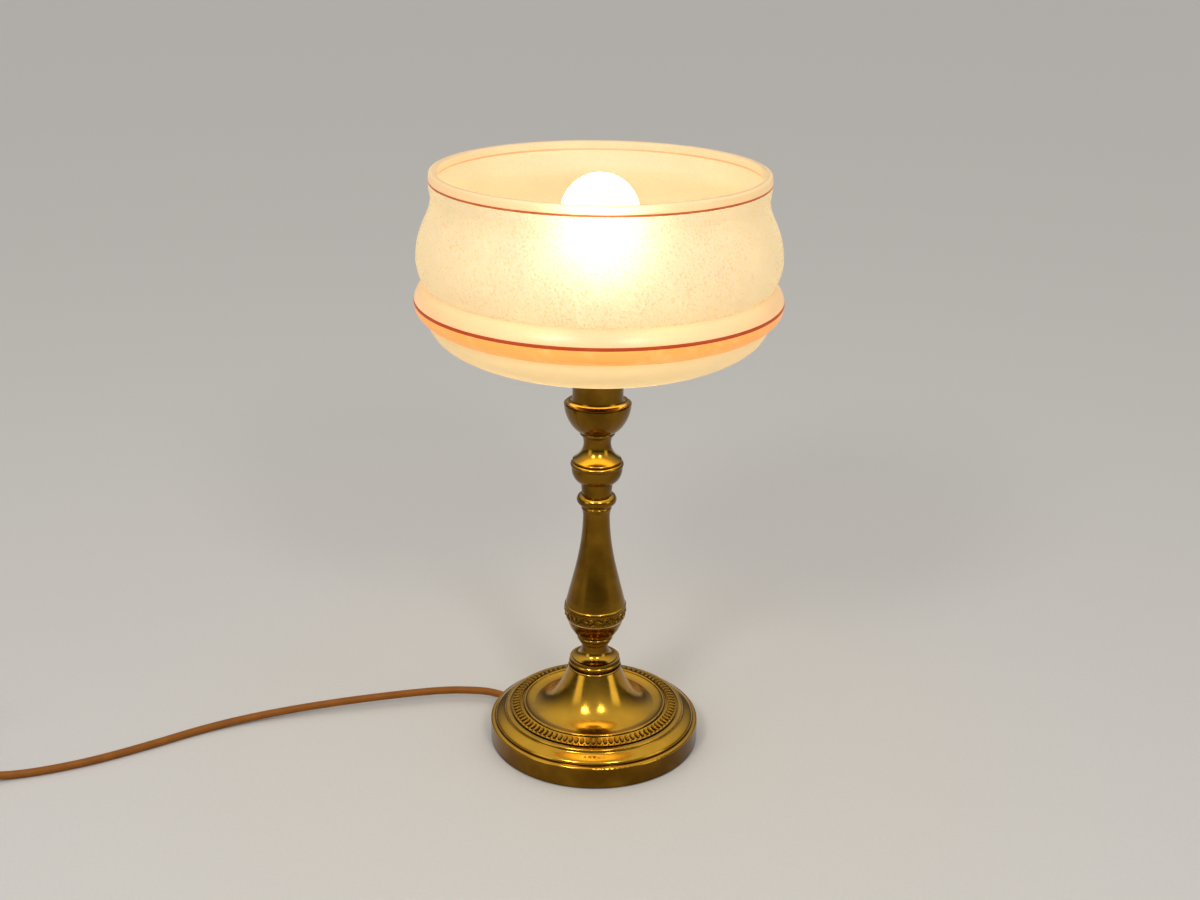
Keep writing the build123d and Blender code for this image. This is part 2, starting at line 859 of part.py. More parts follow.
# Candle sleeve, flared onto its cover plate
with BuildPart() as candle_sleeve:
    with BuildSketch(Plane.XZ):
        with BuildLine():
            sleeve_bore = sleeve_radius - sleeve_wall
            cover_top = cup_top + cover_thickness
            flare_start = sleeve_radius + 0.65 * (cover_radius - sleeve_radius)
            Polyline(
                (sleeve_bore, cup_top),
                (cover_radius, cup_top),
                (cover_radius, cover_top),
                (flare_start, cover_top),
            )
            Bezier(
                (flare_start, cover_top),
                (sleeve_radius, cover_top + 0.1 * sleeve_flare_height),
                (sleeve_radius, cover_top + sleeve_flare_height),
            )
            Polyline(
                (sleeve_radius, cover_top + sleeve_flare_height),
                (sleeve_radius, sleeve_top),
                (sleeve_bore, sleeve_top),
                (sleeve_bore, cup_top),
            )
        make_face()
    revolve(axis=Axis.Z)
finish(candle_sleeve, "candle_sleeve")

# Carrier plate with the felt cushions below and above the glass
with BuildPart() as shade_carrier:
    with BuildSketch(Plane.XY.offset(sleeve_top)):
        Circle(carrier_radius)
        Circle(bore_radius, mode=Mode.SUBTRACT)
    extrude(amount=carrier_thickness)
finish(shade_carrier, "shade_carrier")

with BuildPart() as carrier_cushion:
    with BuildSketch(Plane.XY.offset(carrier_top)):
        Circle(cushion_inner_radius + cushion_width)
        Circle(cushion_inner_radius, mode=Mode.SUBTRACT)
    extrude(amount=cushion_thickness)
finish(carrier_cushion, "carrier_cushion")

with BuildPart() as ring_cushion:
    with BuildSketch(Plane.XY.offset(shade_seat + glass_wall)):
        Circle(shade_ring_radius - loose_clearance)
        Circle(shade_hole_radius + loose_clearance, mode=Mode.SUBTRACT)
    extrude(amount=cushion_thickness)
finish(ring_cushion, "ring_cushion")

# Glass shade: flat floor, bowl, stepped band, ridge, bulge, throat and thickened rim
with BuildPart() as glass_shade:
    with BuildSketch(Plane.XZ):
        with BuildLine():
            floor_inside = shade_seat + glass_wall
            foot_level = shade_seat + shade_foot_height
            ridge_level = shade_seat + ridge_line_height
            seam_level = shade_seat + seam_height
            bulge_level = shade_seat + bulge_height
            throat_level = shade_seat + throat_height
            rim_level = shade_seat + shade_height
            bowl_edge = shade_foot_radius - shade_foot_step
            throat_inside = (throat_radius - glass_wall, throat_level)
            bulge_inside = (bulge_radius - glass_wall, bulge_level)
            seam_inside = (seam_radius - glass_wall, seam_level)
            fold = (ridge_radius - glass_wall, ridge_level + ridge_fold)
            heel = (bowl_edge - glass_wall, foot_level + ridge_fold)
            Line((shade_hole_radius, shade_seat), (shade_floor_radius, shade_seat))
            Bezier(
                (shade_floor_radius, shade_seat),
                (shade_floor_radius + shade_bottom_reach, shade_seat),
                (shade_belly_radius, shade_seat + shade_belly_height),
                (bowl_edge, foot_level),
            )
            Line((bowl_edge, foot_level), (shade_foot_radius, foot_level))
            SagittaArc((shade_foot_radius, foot_level), (ridge_radius, ridge_level), -band_bulge)
            SagittaArc((ridge_radius, ridge_level), (seam_radius, seam_level), -shoulder_bulge)
            SagittaArc((seam_radius, seam_level), (bulge_radius, bulge_level), -swell_bulge)
            Bezier(
                (bulge_radius, bulge_level),
                (bulge_radius, bulge_level + bulge_reach),
                (throat_radius, throat_level - throat_reach),
                (throat_radius, throat_level),
            )
            SagittaArc((throat_radius, throat_level), (rim_radius, rim_level), -rim_bulge)
            Line((rim_radius, rim_level), (rim_radius - rim_wall, rim_level))
            SagittaArc((rim_radius - rim_wall, rim_level), throat_inside, rim_bulge)
            Bezier(
                throat_inside,
                (throat_radius - glass_wall, throat_level - throat_reach),
                (bulge_radius - glass_wall, bulge_level + bulge_reach),
                bulge_inside,
            )
            SagittaArc(bulge_inside, seam_inside, swell_bulge)
            SagittaArc(seam_inside, fold, shoulder_bulge)
            Line(fold, heel)
            Bezier(
                heel,
                (shade_belly_radius - glass_wall, floor_inside + shade_belly_height),
                (shade_floor_radius + shade_bottom_reach, floor_inside),
                (shade_floor_radius, floor_inside),
            )
            Polyline(
                (shade_floor_radius, floor_inside),
                (shade_hole_radius, floor_inside),
                (shade_hole_radius, shade_seat),
            )
        make_face()
    revolve(axis=Axis.Z)
    fillet(glass_shade.edges().filter_by(GeomType.CIRCLE).group_by(Axis.Z)[-1], rim_round)
finish(glass_shade, "glass_shade")

# Ring that screws down the lampholder onto the glass
with BuildPart() as shade_ring:
    with BuildSketch(Plane.XY.offset(ring_seat)):
        Circle(shade_ring_radius)
        Circle(holder_radius + thread_clearance, mode=Mode.SUBTRACT)
    extrude(amount=shade_ring_height)
    outer_top = shade_ring.edges().filter_by(GeomType.CIRCLE).group_by(Axis.Z)[-1].sort_by(SortBy.RADIUS)[-1]
    chamfer(outer_top, shade_ring_chamfer)
finish(shade_ring, "shade_ring")

# Lampholder cap: floor, threaded boss and spigot
spigot_radius = mantle_inner_radius - thread_clearance
spigot_bore = spigot_radius - spigot_wall
with BuildPart() as holder_cap:
    with BuildSketch(Plane.XY.offset(carrier_top)):
        Circle(holder_radius)
    extrude(amount=holder_floor)
    with BuildSketch(Plane.XY.offset(holder_floor_top)):
        Circle(holder_boss_radius)
    extrude(amount=holder_boss_height)
    with BuildSketch(Plane.XY.offset(holder_floor_top)):
        Circle(spigot_radius)
        Circle(spigot_bore, mode=Mode.SUBTRACT)
    extrude(amount=spigot_height)
    with BuildSketch(Plane.XY.offset(carrier_top)):
        Circle(thread_radius)
    extrude(amount=holder_floor + holder_boss_height, mode=Mode.SUBTRACT)
finish(holder_cap, "holder_cap")

# Threaded mantle of the lampholder
with BuildPart() as holder_mantle:
    with BuildSketch(Plane.XZ):
        with BuildLine():
            Polyline(
                (mantle_inner_radius, holder_floor_top),
                (holder_radius, holder_floor_top),
                (holder_radius, mantle_top),
                (mantle_mouth_radius, mantle_top),
                (mantle_mouth_radius, mantle_top - mantle_lip),
                (mantle_inner_radius, mantle_top - mantle_lip),
                (mantle_inner_radius, holder_floor_top),
            )
        make_face()
    revolve(axis=Axis.Z)
finish(holder_mantle, "holder_mantle")

# Directions of the two line cores and their terminals, square to the flex's way in
across = bearing(exit_bearing + 90)
terminal_plane = Plane(origin=(0, 0, spigot_top - terminal_height), x_dir=across)
core_sides = [across * -1, across]

# Ceramic core of the lampholder
with BuildPart() as holder_core:
    with BuildSketch(Plane.XY.offset(spigot_top)):
        Circle(spigot_radius)
        Circle(core_bore_radius, mode=Mode.SUBTRACT)
    extrude(amount=core_height)
finish(holder_core, "holder_core")

# Screw shell of the lampholder
with BuildPart() as holder_screw_shell:
    with BuildSketch(Plane.XY.offset(core_top)):
        Circle(shell_outer_radius + shell_flange_width)
        Circle(shell_inner_radius, mode=Mode.SUBTRACT)
    extrude(amount=shell_wall)
    with BuildSketch(Plane.XY.offset(core_top)):
        Circle(shell_outer_radius)
        Circle(shell_inner_radius, mode=Mode.SUBTRACT)
    extrude(amount=shell_height)
finish(holder_screw_shell, "holder_screw_shell")

# Centre contact: a strip folded back over itself, its top face under the bulb's tip
with BuildPart() as holder_contact:
    with BuildSketch(Plane.XZ.offset(-contact_width / 2)):
        with BuildLine():
            back = -contact_length / 2
            front = contact_length / 2
            Polyline(
                (front, core_top),
                (back, core_top),
                (back, contact_top),
                (tip_flat_radius, contact_top),
                (tip_flat_radius, contact_top - contact_strip),
                (back + contact_strip, contact_top - contact_strip),
                (back + contact_strip, core_top + contact_strip),
                (front, core_top + contact_strip),
                (front, core_top),
            )
        make_face()
    extrude(amount=contact_width)
finish(holder_contact, "holder_contact")


def terminal_face(outward):
    """Outer face of a terminal block, which its screw goes into."""
    face = outward * (terminal_reach + terminal_size / 2)
    return Plane(origin=face + Vector(0, 0, spigot_top - terminal_height / 2), z_dir=outward)


# Terminal blocks under the ceramic core and their screws
with BuildPart() as terminal_blocks:
    with BuildSketch(terminal_plane):
        with Locations((-terminal_reach, 0), (terminal_reach, 0)):
            Rectangle(terminal_size, terminal_size)
    extrude(amount=terminal_height)
    for outward in core_sides:
        with BuildSketch(terminal_face(outward)):
            Circle(terminal_screw_radius + thread_clearance)
        extrude(amount=-terminal_screw_length, mode=Mode.SUBTRACT)
finish(terminal_blocks, "terminal_blocks")

with BuildPart() as terminal_screws:
    for outward in core_sides:
        with BuildSketch(terminal_face(outward)):
            Circle(terminal_screw_head_radius)
        extrude(amount=terminal_screw_head)
        with BuildSketch(terminal_face(outward)):
            Circle(terminal_screw_radius)
        extrude(amount=-terminal_screw_length)
finish(terminal_screws, "terminal_screws")

# Bulb: end contact, insulator, threaded cap, glass, stem and filament
with BuildPart() as bulb_contact:
    with BuildSketch(Plane.XZ):
        with BuildLine():
            Polyline((0, tip_top + tip_spigot_height), (0, bulb_tip), (tip_flat_radius, bulb_tip))
            Bezier((tip_flat_radius, bulb_tip), (tip_radius, bulb_tip), (tip_radius, tip_top))
            Polyline(
                (tip_radius, tip_top),
                (tip_spigot_radius, tip_top),
                (tip_spigot_radius, tip_top + tip_spigot_height),
                (0, tip_top + tip_spigot_height),
            )
        make_face()
    revolve(axis=Axis.Z)
finish(bulb_contact, "bulb_contact")

with BuildPart() as bulb_insulator:
    with BuildSketch(Plane.XZ):
        with BuildLine():
            insulator_bore = tip_spigot_radius + thread_clearance
            Polyline(
                (insulator_bore, tip_top),
                (tip_radius, tip_top),
                (insulator_radius, cap_bottom),
                (insulator_radius, insulator_top),
                (insulator_bore, insulator_top),
                (insulator_bore, tip_top),
            )
        make_face()
    revolve(axis=Axis.Z)
finish(bulb_insulator, "bulb_insulator")

with BuildPart() as bulb_cap:
    with BuildSketch(Plane.XZ):
        with BuildLine():
            rim_inner = cap_rim_radius - cap_rim_wall
            Polyline(
                (cap_inner_radius, cap_bottom),
                (cap_root_radius, cap_bottom),
                (cap_root_radius, cap_thread_bottom),
            )
            for ridge in range(cap_thread_turns):
                start = cap_thread_bottom + ridge * cap_lead
                ThreePointArc(
                    (cap_root_radius, start),
                    (cap_thread_radius, start + cap_lead / 2),
                    (cap_root_radius, start + cap_lead),
                )
            Polyline(
                (cap_root_radius, cap_rim_bottom),
                (cap_rim_radius, cap_rim_bottom + cap_rim_wall),
                (cap_rim_radius, cap_top),
                (rim_inner, cap_top),
                (rim_inner, bulb_neck_bottom - stem_flange_height),
                (cap_inner_radius, bulb_neck_bottom - stem_flange_height),
                (cap_inner_radius, cap_bottom),
            )
        make_face()
    revolve(axis=Axis.Z)
finish(bulb_cap, "bulb_cap")

with BuildPart() as bulb_glass:
    with BuildSketch(Plane.XZ):
        with BuildLine():
            join = radians(globe_join_angle)
            inner_globe = globe_radius - bulb_glass_wall
            inner_neck = bulb_neck_radius - bulb_glass_wall
            join_outer = (globe_radius * cos(join), globe_centre - globe_radius * sin(join))
            join_inner = (inner_globe * cos(join), globe_centre - inner_globe * sin(join))
            pull = (join_outer[1] - cap_top) / 2
            Line((inner_neck, bulb_neck_bottom), (bulb_neck_radius, bulb_neck_bottom))
            Line((bulb_neck_radius, bulb_neck_bottom), (bulb_neck_radius, cap_top))
            Bezier(
                (bulb_neck_radius, cap_top),
                (bulb_neck_radius, cap_top + pull),
                (join_outer[0] - pull * sin(join), join_outer[1] - pull * cos(join)),
                join_outer,
            )
            ThreePointArc(join_outer, (globe_radius, globe_centre), (0, globe_centre + globe_radius))
            Line((0, globe_centre + globe_radius), (0, globe_centre + inner_globe))
            ThreePointArc((0, globe_centre + inner_globe), (inner_globe, globe_centre), join_inner)
            Bezier(
                join_inner,
                (join_inner[0] - pull * sin(join), join_inner[1] - pull * cos(join)),
                (inner_neck, cap_top + pull),
                (inner_neck, cap_top),
            )
            Line((inner_neck, cap_top), (inner_neck, bulb_neck_bottom))
        make_face()
    revolve(axis=Axis.Z)
finish(bulb_glass, "bulb_glass")

stem_top = bulb_neck_bottom + stem_height
with BuildPart() as bulb_stem:
    with BuildSketch(Plane.XZ):
        with BuildLine():
            flange_bottom = bulb_neck_bottom - stem_flange_height
            Polyline(
                (0, flange_bottom),
                (bulb_neck_radius, flange_bottom),
                (bulb_neck_radius, bulb_neck_bottom),
                (stem_foot_radius, bulb_neck_bottom),
                (stem_top_radius, stem_top),
                (0, stem_top),
                (0, flange_bottom),
            )
        make_face()
    revolve(axis=Axis.Z)
finish(bulb_stem, "bulb_stem")

with BuildPart() as bulb_filament:
    with BuildLine() as filament_path:
        FilletPolyline(
            (-filament_foot_half_span, 0, stem_top),
            (-filament_foot_half_span, 0, stem_top + filament_height / 5),
            (-filament_half_span, 0, stem_top + filament_height),
            (filament_half_span, 0, stem_top + filament_height),
            (filament_foot_half_span, 0, stem_top + filament_height / 5),
            (filament_foot_half_span, 0, stem_top),
            radius=4 * filament_wire_radius,
        )
    with BuildSketch(Plane(filament_path.line @ 0, z_dir=filament_path.line % 0)):
        Circle(filament_wire_radius)
    sweep(path=filament_path.line)
finish(bulb_filament, "bulb_filament")


def flex(points, radius, name):
    """A round flex on straight runs and tangent arcs, each arc as large as its two runs allow."""
    corners = [Vector(point) for point in points]
    radii = []
    for before, corner, after in zip(corners, corners[1:], corners[2:]):
        turn = (corner - before).get_angle(after - corner)
        shorter_run = min((corner - before).length, (after - corner).length)
        radii.append(arc_share * shorter_run / tan(radians(turn / 2)))
    with BuildPart() as tube:
        with BuildLine() as path:
            FilletPolyline(*corners, radius=radii)
        with BuildSketch(Plane(path.line @ 0, z_dir=path.line % 0)):
            Circle(radius)
        sweep(path=path.line)
    length = path.wire().length
    share = tube.part.volume / (pi * radius**2 * length)
    print(name, "radii", [round(r, 1) for r in radii])
    print(name, "length", round(length, 1), "volume share", round(share, 5))
    return tube, length


# Bushing that grips the flex in the foot's wall
with BuildPart() as cord_bushing:
    bushing_plane = Plane(origin=(0, 0, exit_height), x_dir=exit_direction, z_dir=across)
    inner_face = sqrt((wall_radius - wall_thickness) ** 2 - bushing_inner_flange_radius**2) - cord_gap
    tail_start = inner_face - bushing_inner_flange
    nose_end = wall_radius + bushing_nose
    grip_radius = cord_radius + cord_gap
    with BuildSketch(bushing_plane):
        with BuildLine():
            Polyline(
                (tail_start - bushing_tail, grip_radius),
                (tail_start - bushing_tail, bushing_tail_end_radius),
                (tail_start, bushing_tail_radius),
                (tail_start, bushing_inner_flange_radius),
                (inner_face, bushing_inner_flange_radius),
                (inner_face, bushing_neck_radius),
                (wall_radius, bushing_neck_radius),
                (wall_radius, bushing_flange_radius),
                (wall_radius + bushing_nose / 3, bushing_flange_radius),
                (nose_end, bushing_nose_radius),
                (nose_end, grip_radius),
                (tail_start - bushing_tail, grip_radius),
            )
        make_face()
    revolve(axis=Axis((0, 0, exit_height), exit_direction))
finish(cord_bushing, "cord_bushing")

# Sheathed flex inside the foot, up to the nose of the bushing
with BuildPart() as cord_inlet:
    with BuildSketch(exit_axis.offset(sheath_end_radius)):
        Circle(cord_radius)
    extrude(amount=nose_end - sheath_end_radius)
finish(cord_inlet, "cord_inlet")

# Live and neutral cores, from the sheath's end up the rod to the terminals
with BuildPart() as supply_cores:
    for outward in core_sides:
        core_offset = outward * core_spacing
        low = Vector(0, 0, exit_height - core_drop)
        block_bottom = spigot_top - terminal_height
        with BuildLine() as core_path:
            FilletPolyline(
                exit_direction * sheath_end_radius + core_offset + low,
                core_offset + low,
                core_offset + Vector(0, 0, rod_top + core_top_gap),
                outward * terminal_reach + Vector(0, 0, block_bottom - core_top_bend),
                outward * terminal_reach + Vector(0, 0, block_bottom),
                radius=[core_bend, core_top_bend, core_top_bend],
            )
        with BuildSketch(Plane(core_path.line @ 0, z_dir=core_path.line % 0)):
            Circle(core_radius)
        sweep(path=core_path.line)
finish(supply_cores, "supply_cores")

# Earth core, from the sheath's end to the tag
with BuildPart() as earth_core:
    with BuildLine() as earth_path:
        high = Vector(0, 0, exit_height + earth_rise)
        FilletPolyline(
            exit_direction * sheath_end_radius + high,
            exit_direction * earth_post_radius + high,
            exit_direction * earth_post_radius + Vector(0, 0, tag_bottom),
            radius=core_top_bend,
        )
    with BuildSketch(Plane(earth_path.line @ 0, z_dir=earth_path.line % 0)):
        Circle(core_radius)
    sweep(path=earth_path.line)
finish(earth_core, "earth_core")

# Inline switch
switch_direction = bearing(switch_bearing)
switch_across = bearing(switch_bearing + 90)
switch_entry = Vector(*switch_start, 0)
switch_middle = switch_entry + switch_direction * (switch_length / 2)
switch_exit = switch_entry + switch_direction * switch_length
switch_floor = Plane(origin=switch_middle, x_dir=switch_direction)
switch_top = switch_base_height + switch_cover_height
axis_height = switch_base_height
cord_axis = Plane(origin=switch_entry + Vector(0, 0, axis_height), x_dir=(0, 0, 1), z_dir=switch_direction)
screw_places = [
    (-switch_screw_spread / 2, -switch_screw_offset),
    (switch_screw_spread / 2, switch_screw_offset),
]
pilot_depth = switch_top - switch_wall - switch_edge_round

with BuildPart() as switch_base:
    with BuildSketch(switch_floor):
        RectangleRounded(switch_length, switch_width, switch_corner)
    extrude(amount=switch_base_height)
    offset(amount=-switch_wall, openings=switch_base.faces().sort_by(Axis.Z)[-1])
    with BuildSketch(switch_floor):
        with Locations(*screw_places):
            Circle(switch_boss_radius)
    extrude(amount=switch_base_height)
    with BuildSketch(switch_floor):
        with Locations(*screw_places):
            Circle(switch_screw_radius + cord_gap)
    extrude(amount=switch_base_height, mode=Mode.SUBTRACT)
    with BuildSketch(switch_floor):
        with Locations(*screw_places):
            Circle(switch_screw_head_radius + cord_gap)
    extrude(amount=switch_screw_sink + switch_screw_head, mode=Mode.SUBTRACT)
    with BuildSketch(cord_axis):
        Circle(cord_radius + cord_gap)
    extrude(amount=switch_length, mode=Mode.SUBTRACT)
finish(switch_base, "switch_base")

rocker_centre = switch_middle + Vector(0, 0, rocker_pivot_height)
rocker_plane = Plane(origin=rocker_centre, x_dir=switch_direction, z_dir=switch_across * -1)
lug_start = rocker_width / 2 + loose_clearance
lug_end = lug_start + rocker_lug
with BuildPart() as switch_cover:
    with BuildSketch(switch_floor.offset(switch_base_height)):
        RectangleRounded(switch_length, switch_width, switch_corner)
    extrude(amount=switch_cover_height)
    fillet(switch_cover.faces().sort_by(Axis.Z)[-1].edges(), switch_edge_round)
    offset(amount=-switch_wall, openings=switch_cover.faces().sort_by(Axis.Z)[0])
    with BuildSketch(switch_floor.offset(switch_base_height)):
        with Locations(*screw_places):
            Circle(switch_boss_radius)
    extrude(amount=switch_cover_height - switch_wall)
    with BuildSketch(switch_floor.offset(rocker_pivot_height - rocker_lug)):
        with Locations((0, -(lug_start + lug_end) / 2), (0, (lug_start + lug_end) / 2)):
            Rectangle(2 * rocker_lug, rocker_lug)
    extrude(amount=switch_top - switch_wall - rocker_pivot_height + rocker_lug)
    with BuildSketch(switch_floor.offset(switch_base_height)):
        Rectangle(rocker_length + 2 * loose_clearance, rocker_width + 2 * loose_clearance)
    extrude(amount=switch_cover_height, mode=Mode.SUBTRACT)
    with BuildSketch(switch_floor.offset(switch_base_height)):
        with Locations(*screw_places):
            Circle(switch_screw_radius)
    extrude(amount=pilot_depth - switch_base_height, mode=Mode.SUBTRACT)
    with BuildSketch(cord_axis):
        Circle(cord_radius + cord_gap)
    extrude(amount=switch_length, mode=Mode.SUBTRACT)
    with BuildSketch(rocker_plane.offset(-lug_end)):
        Circle(rocker_pin_radius)
    extrude(amount=2 * lug_end, mode=Mode.SUBTRACT)
finish(switch_cover, "switch_cover")

with BuildPart() as switch_pin:
    with BuildSketch(rocker_plane.offset(-lug_end)):
        Circle(rocker_pin_radius)
    extrude(amount=2 * lug_end)
finish(switch_pin, "switch_pin")

# Rocker: round ends about its pivot, dished top, tilted to its on position
rocker_radius = rocker_length / 2
tilt = radians(rocker_throw / 2)
tilted_length = switch_direction * cos(tilt) + Vector(0, 0, sin(tilt))
tilted = Plane(origin=rocker_centre, x_dir=tilted_length, z_dir=switch_across * -1)
with BuildPart() as switch_rocker:
    with BuildSketch(tilted.offset(-rocker_width / 2)):
        with BuildLine():
            end_height = rocker_crown + rocker_end_rise
            end_top = (sqrt(rocker_radius**2 - end_height**2), end_height)
            Polyline((-end_top[0], end_top[1]), (0, rocker_crown), end_top)
            RadiusArc(end_top, (rocker_radius, 0), rocker_radius)
            Polyline(
                (rocker_radius, 0),
                (rocker_foot / 2, -rocker_depth),
                (-rocker_foot / 2, -rocker_depth),
                (-rocker_radius, 0),
            )
            RadiusArc((-rocker_radius, 0), (-end_top[0], end_top[1]), rocker_radius)
        make_face()
        Circle(rocker_pin_radius + rocker_pin_clearance, mode=Mode.SUBTRACT)
    extrude(amount=rocker_width)
finish(switch_rocker, "switch_rocker")

with BuildPart() as switch_screws:
    with BuildSketch(switch_floor.offset(switch_screw_sink)):
        with Locations(*screw_places):
            Circle(switch_screw_head_radius)
    extrude(amount=switch_screw_head)
    with BuildSketch(switch_floor.offset(switch_screw_sink)):
        with Locations(*screw_places):
            Circle(switch_screw_radius)
    extrude(amount=pilot_depth - switch_screw_sink)
finish(switch_screws, "switch_screws")

with BuildPart() as switch_terminals:
    with BuildSketch(switch_floor.offset(switch_wall)):
        half = switch_terminal_spread / 2
        with Locations((-half, switch_terminal_offset), (half, -switch_terminal_offset)):
            Rectangle(1.6 * switch_terminal_size, switch_terminal_size)
    extrude(amount=switch_terminal_size)
finish(switch_terminals, "switch_terminals")

# Lead from the foot to the switch
exit_point = exit_direction * nose_end + Vector(0, 0, exit_height)
switch_in = switch_entry + switch_direction * cord_in_switch + Vector(0, 0, axis_height)
lead_route = [exit_point, exit_point + exit_direction * exit_run]
lead_route += lead_points
lead_route += [switch_entry - switch_direction * switch_run + Vector(0, 0, axis_height), switch_in]
cord_lead, lead_length = flex(lead_route, cord_radius, "cord_lead")
finish(cord_lead, "cord_lead")

# Coil: it spirals in along the table, climbs a layer where it reverses, and spirals out on top
coil_reach = coil_quarter_turns * pi / 4
coil_outer_radius = coil_inner_radius + coil_pitch * coil_reach / (2 * pi)
spiral_slope = atan(coil_pitch / (2 * pi * coil_outer_radius))
coil_start_angle = radians(switch_bearing + 90) + spiral_slope
coil_start = switch_exit + switch_direction * (link_length + 2 * cord_radius)
coil_middle = coil_start - bearing(degrees(coil_start_angle)) * coil_outer_radius
lower_layer = cord_radius + coil_lift
layer_rise = coil_pitch
upper_layer = lower_layer + layer_rise


def coil_point(turn):
    """Middle of the flex at an angle along the coil, which is zero where the spiral reverses."""
    angle = coil_start_angle - coil_reach - turn
    radius = coil_inner_radius + coil_pitch * abs(turn) / (2 * pi)
    climb = (1 + sin(max(-pi / 2, min(pi / 2, turn)))) / 2
    return coil_middle + bearing(degrees(angle)) * radius + Vector(0, 0, lower_layer + layer_rise * climb)


def coil_tangent(turn):
    """Unit direction of the flex at an angle along the coil."""
    angle = coil_start_angle - coil_reach - turn
    radius = coil_inner_radius + coil_pitch * abs(turn) / (2 * pi)
    outward = coil_pitch / (2 * pi) * ((turn > 1e-9) - (turn < -1e-9))
    climb = layer_rise * cos(turn) / 2 if abs(turn) < pi / 2 else 0
    along = bearing(degrees(angle)) * outward + bearing(degrees(angle) - 90) * radius + Vector(0, 0, climb)
    return along.normalized()


def biarc(start, start_way, end, end_way):
    """Two arcs that join two points in their given directions."""
    chord = end - start
    ways = start_way + end_way
    bend = 2 * (1 - start_way.dot(end_way))
    across_ways = chord.dot(ways)
    reach = (sqrt(across_ways**2 + bend * chord.dot(chord)) - across_ways) / bend
    first_knee = start + start_way * reach
    second_knee = end - end_way * reach
    meeting = (first_knee + second_knee) * 0.5
    TangentArc(start, meeting, tangent=start_way)
    TangentArc(meeting, end, tangent=(second_knee - first_knee).normalized())


turns = [-coil_reach + step * pi / 2 for step in range(coil_quarter_turns + 1)]
coil_in = coil_point(turns[0]) - coil_tangent(turns[0]) * (2 * cord_radius)
coil_out = coil_point(turns[-1]) + coil_tangent(turns[-1]) * (2 * cord_radius)
with BuildPart() as cord_coil:
    with BuildLine() as coil_path:
        Line(coil_in, coil_point(turns[0]))
        for turn, next_turn in zip(turns, turns[1:]):
            biarc(coil_point(turn), coil_tangent(turn), coil_point(next_turn), coil_tangent(next_turn))
        Line(coil_point(turns[-1]), coil_out)
    with BuildSketch(Plane(coil_in, z_dir=coil_tangent(turns[0]))):
        Circle(cord_radius)
    sweep(path=coil_path.line)
finish(cord_coil, "cord_coil")
coil_length = coil_path.wire().length
samples = [coil_point(-coil_reach + step * pi / 24) for step in range(12 * coil_quarter_turns + 1)]
least_gap = min(
    (samples[i] - samples[j]).length - 2 * cord_radius
    for i in range(len(samples))
    for j in range(i + 24, len(samples))
)
coil_share = cord_coil.part.volume / (pi * cord_radius**2 * coil_length)
print("cord_coil least gap", round(least_gap, 3))
print("cord_coil length", round(coil_length, 1), "volume share", round(coil_share, 5))

# Link from the switch to the coil
switch_out = switch_exit - switch_direction * cord_in_switch + Vector(0, 0, axis_height)
link_route = [switch_out]
for along, height in zip(link_runs, [axis_height, link_dip, lower_layer]):
    link_route.append(switch_exit + switch_direction * along + Vector(0, 0, height))
link_route.append(coil_in)
cord_link, linking_length = flex(link_route, cord_radius, "cord_link")
finish(cord_link, "cord_link")

# Tail from the coil to the plug
tail_direction = Vector(coil_tangent(turns[-1]).X, coil_tangent(turns[-1]).Y, 0).normalized()
tail_base = Vector(coil_out.X, coil_out.Y, 0)
plug_start = tail_base + tail_direction * tail_length + Vector(0, 0, plug_radius)
tail_route = [coil_out]
for along, height in zip(tail_runs, [upper_layer, tail_climb, plug_radius]):
    tail_route.append(tail_base + tail_direction * along + Vector(0, 0, height))
tail_route.append(plug_start + tail_direction * cord_in_plug)
cord_tail, tail_run = flex(tail_route, cord_radius, "cord_tail")
finish(cord_tail, "cord_tail")

# Tie round the coil
tie_direction = bearing(tie_bearing)
tie_turns = [radians(tie_bearing) - coil_start_angle + coil_reach + 2 * pi * step for step in range(-6, 7)]
crossings = [-turn for turn in tie_turns if abs(turn) <= coil_reach]
tie_radii = [coil_inner_radius + coil_pitch * abs(turn) / (2 * pi) for turn in crossings]
tie_inner = min(tie_radii) - cord_radius - tie_side_clearance
tie_outer = max(tie_radii) + cord_radius + tie_side_clearance
tie_bottom = lower_layer - cord_radius - tie_clearance
tie_top = upper_layer + cord_radius + tie_clearance
with BuildPart() as coil_tie:
    tie_middle = coil_middle + tie_direction * ((tie_inner + tie_outer) / 2)
    tie_middle += Vector(0, 0, (tie_bottom + tie_top) / 2)
    tie_plane = Plane(origin=tie_middle, x_dir=tie_direction, z_dir=tie_direction.cross(Vector(0, 0, 1)))
    with BuildSketch(tie_plane.offset(-tie_width / 2)):
        RectangleRounded(
            tie_outer - tie_inner + 2 * tie_thickness,
            tie_top - tie_bottom + 2 * tie_thickness,
            cord_radius,
        )
        RectangleRounded(
            tie_outer - tie_inner,
            tie_top - tie_bottom,
            cord_radius - tie_thickness,
            mode=Mode.SUBTRACT,
        )
    extrude(amount=tie_width)
finish(coil_tie, "coil_tie")

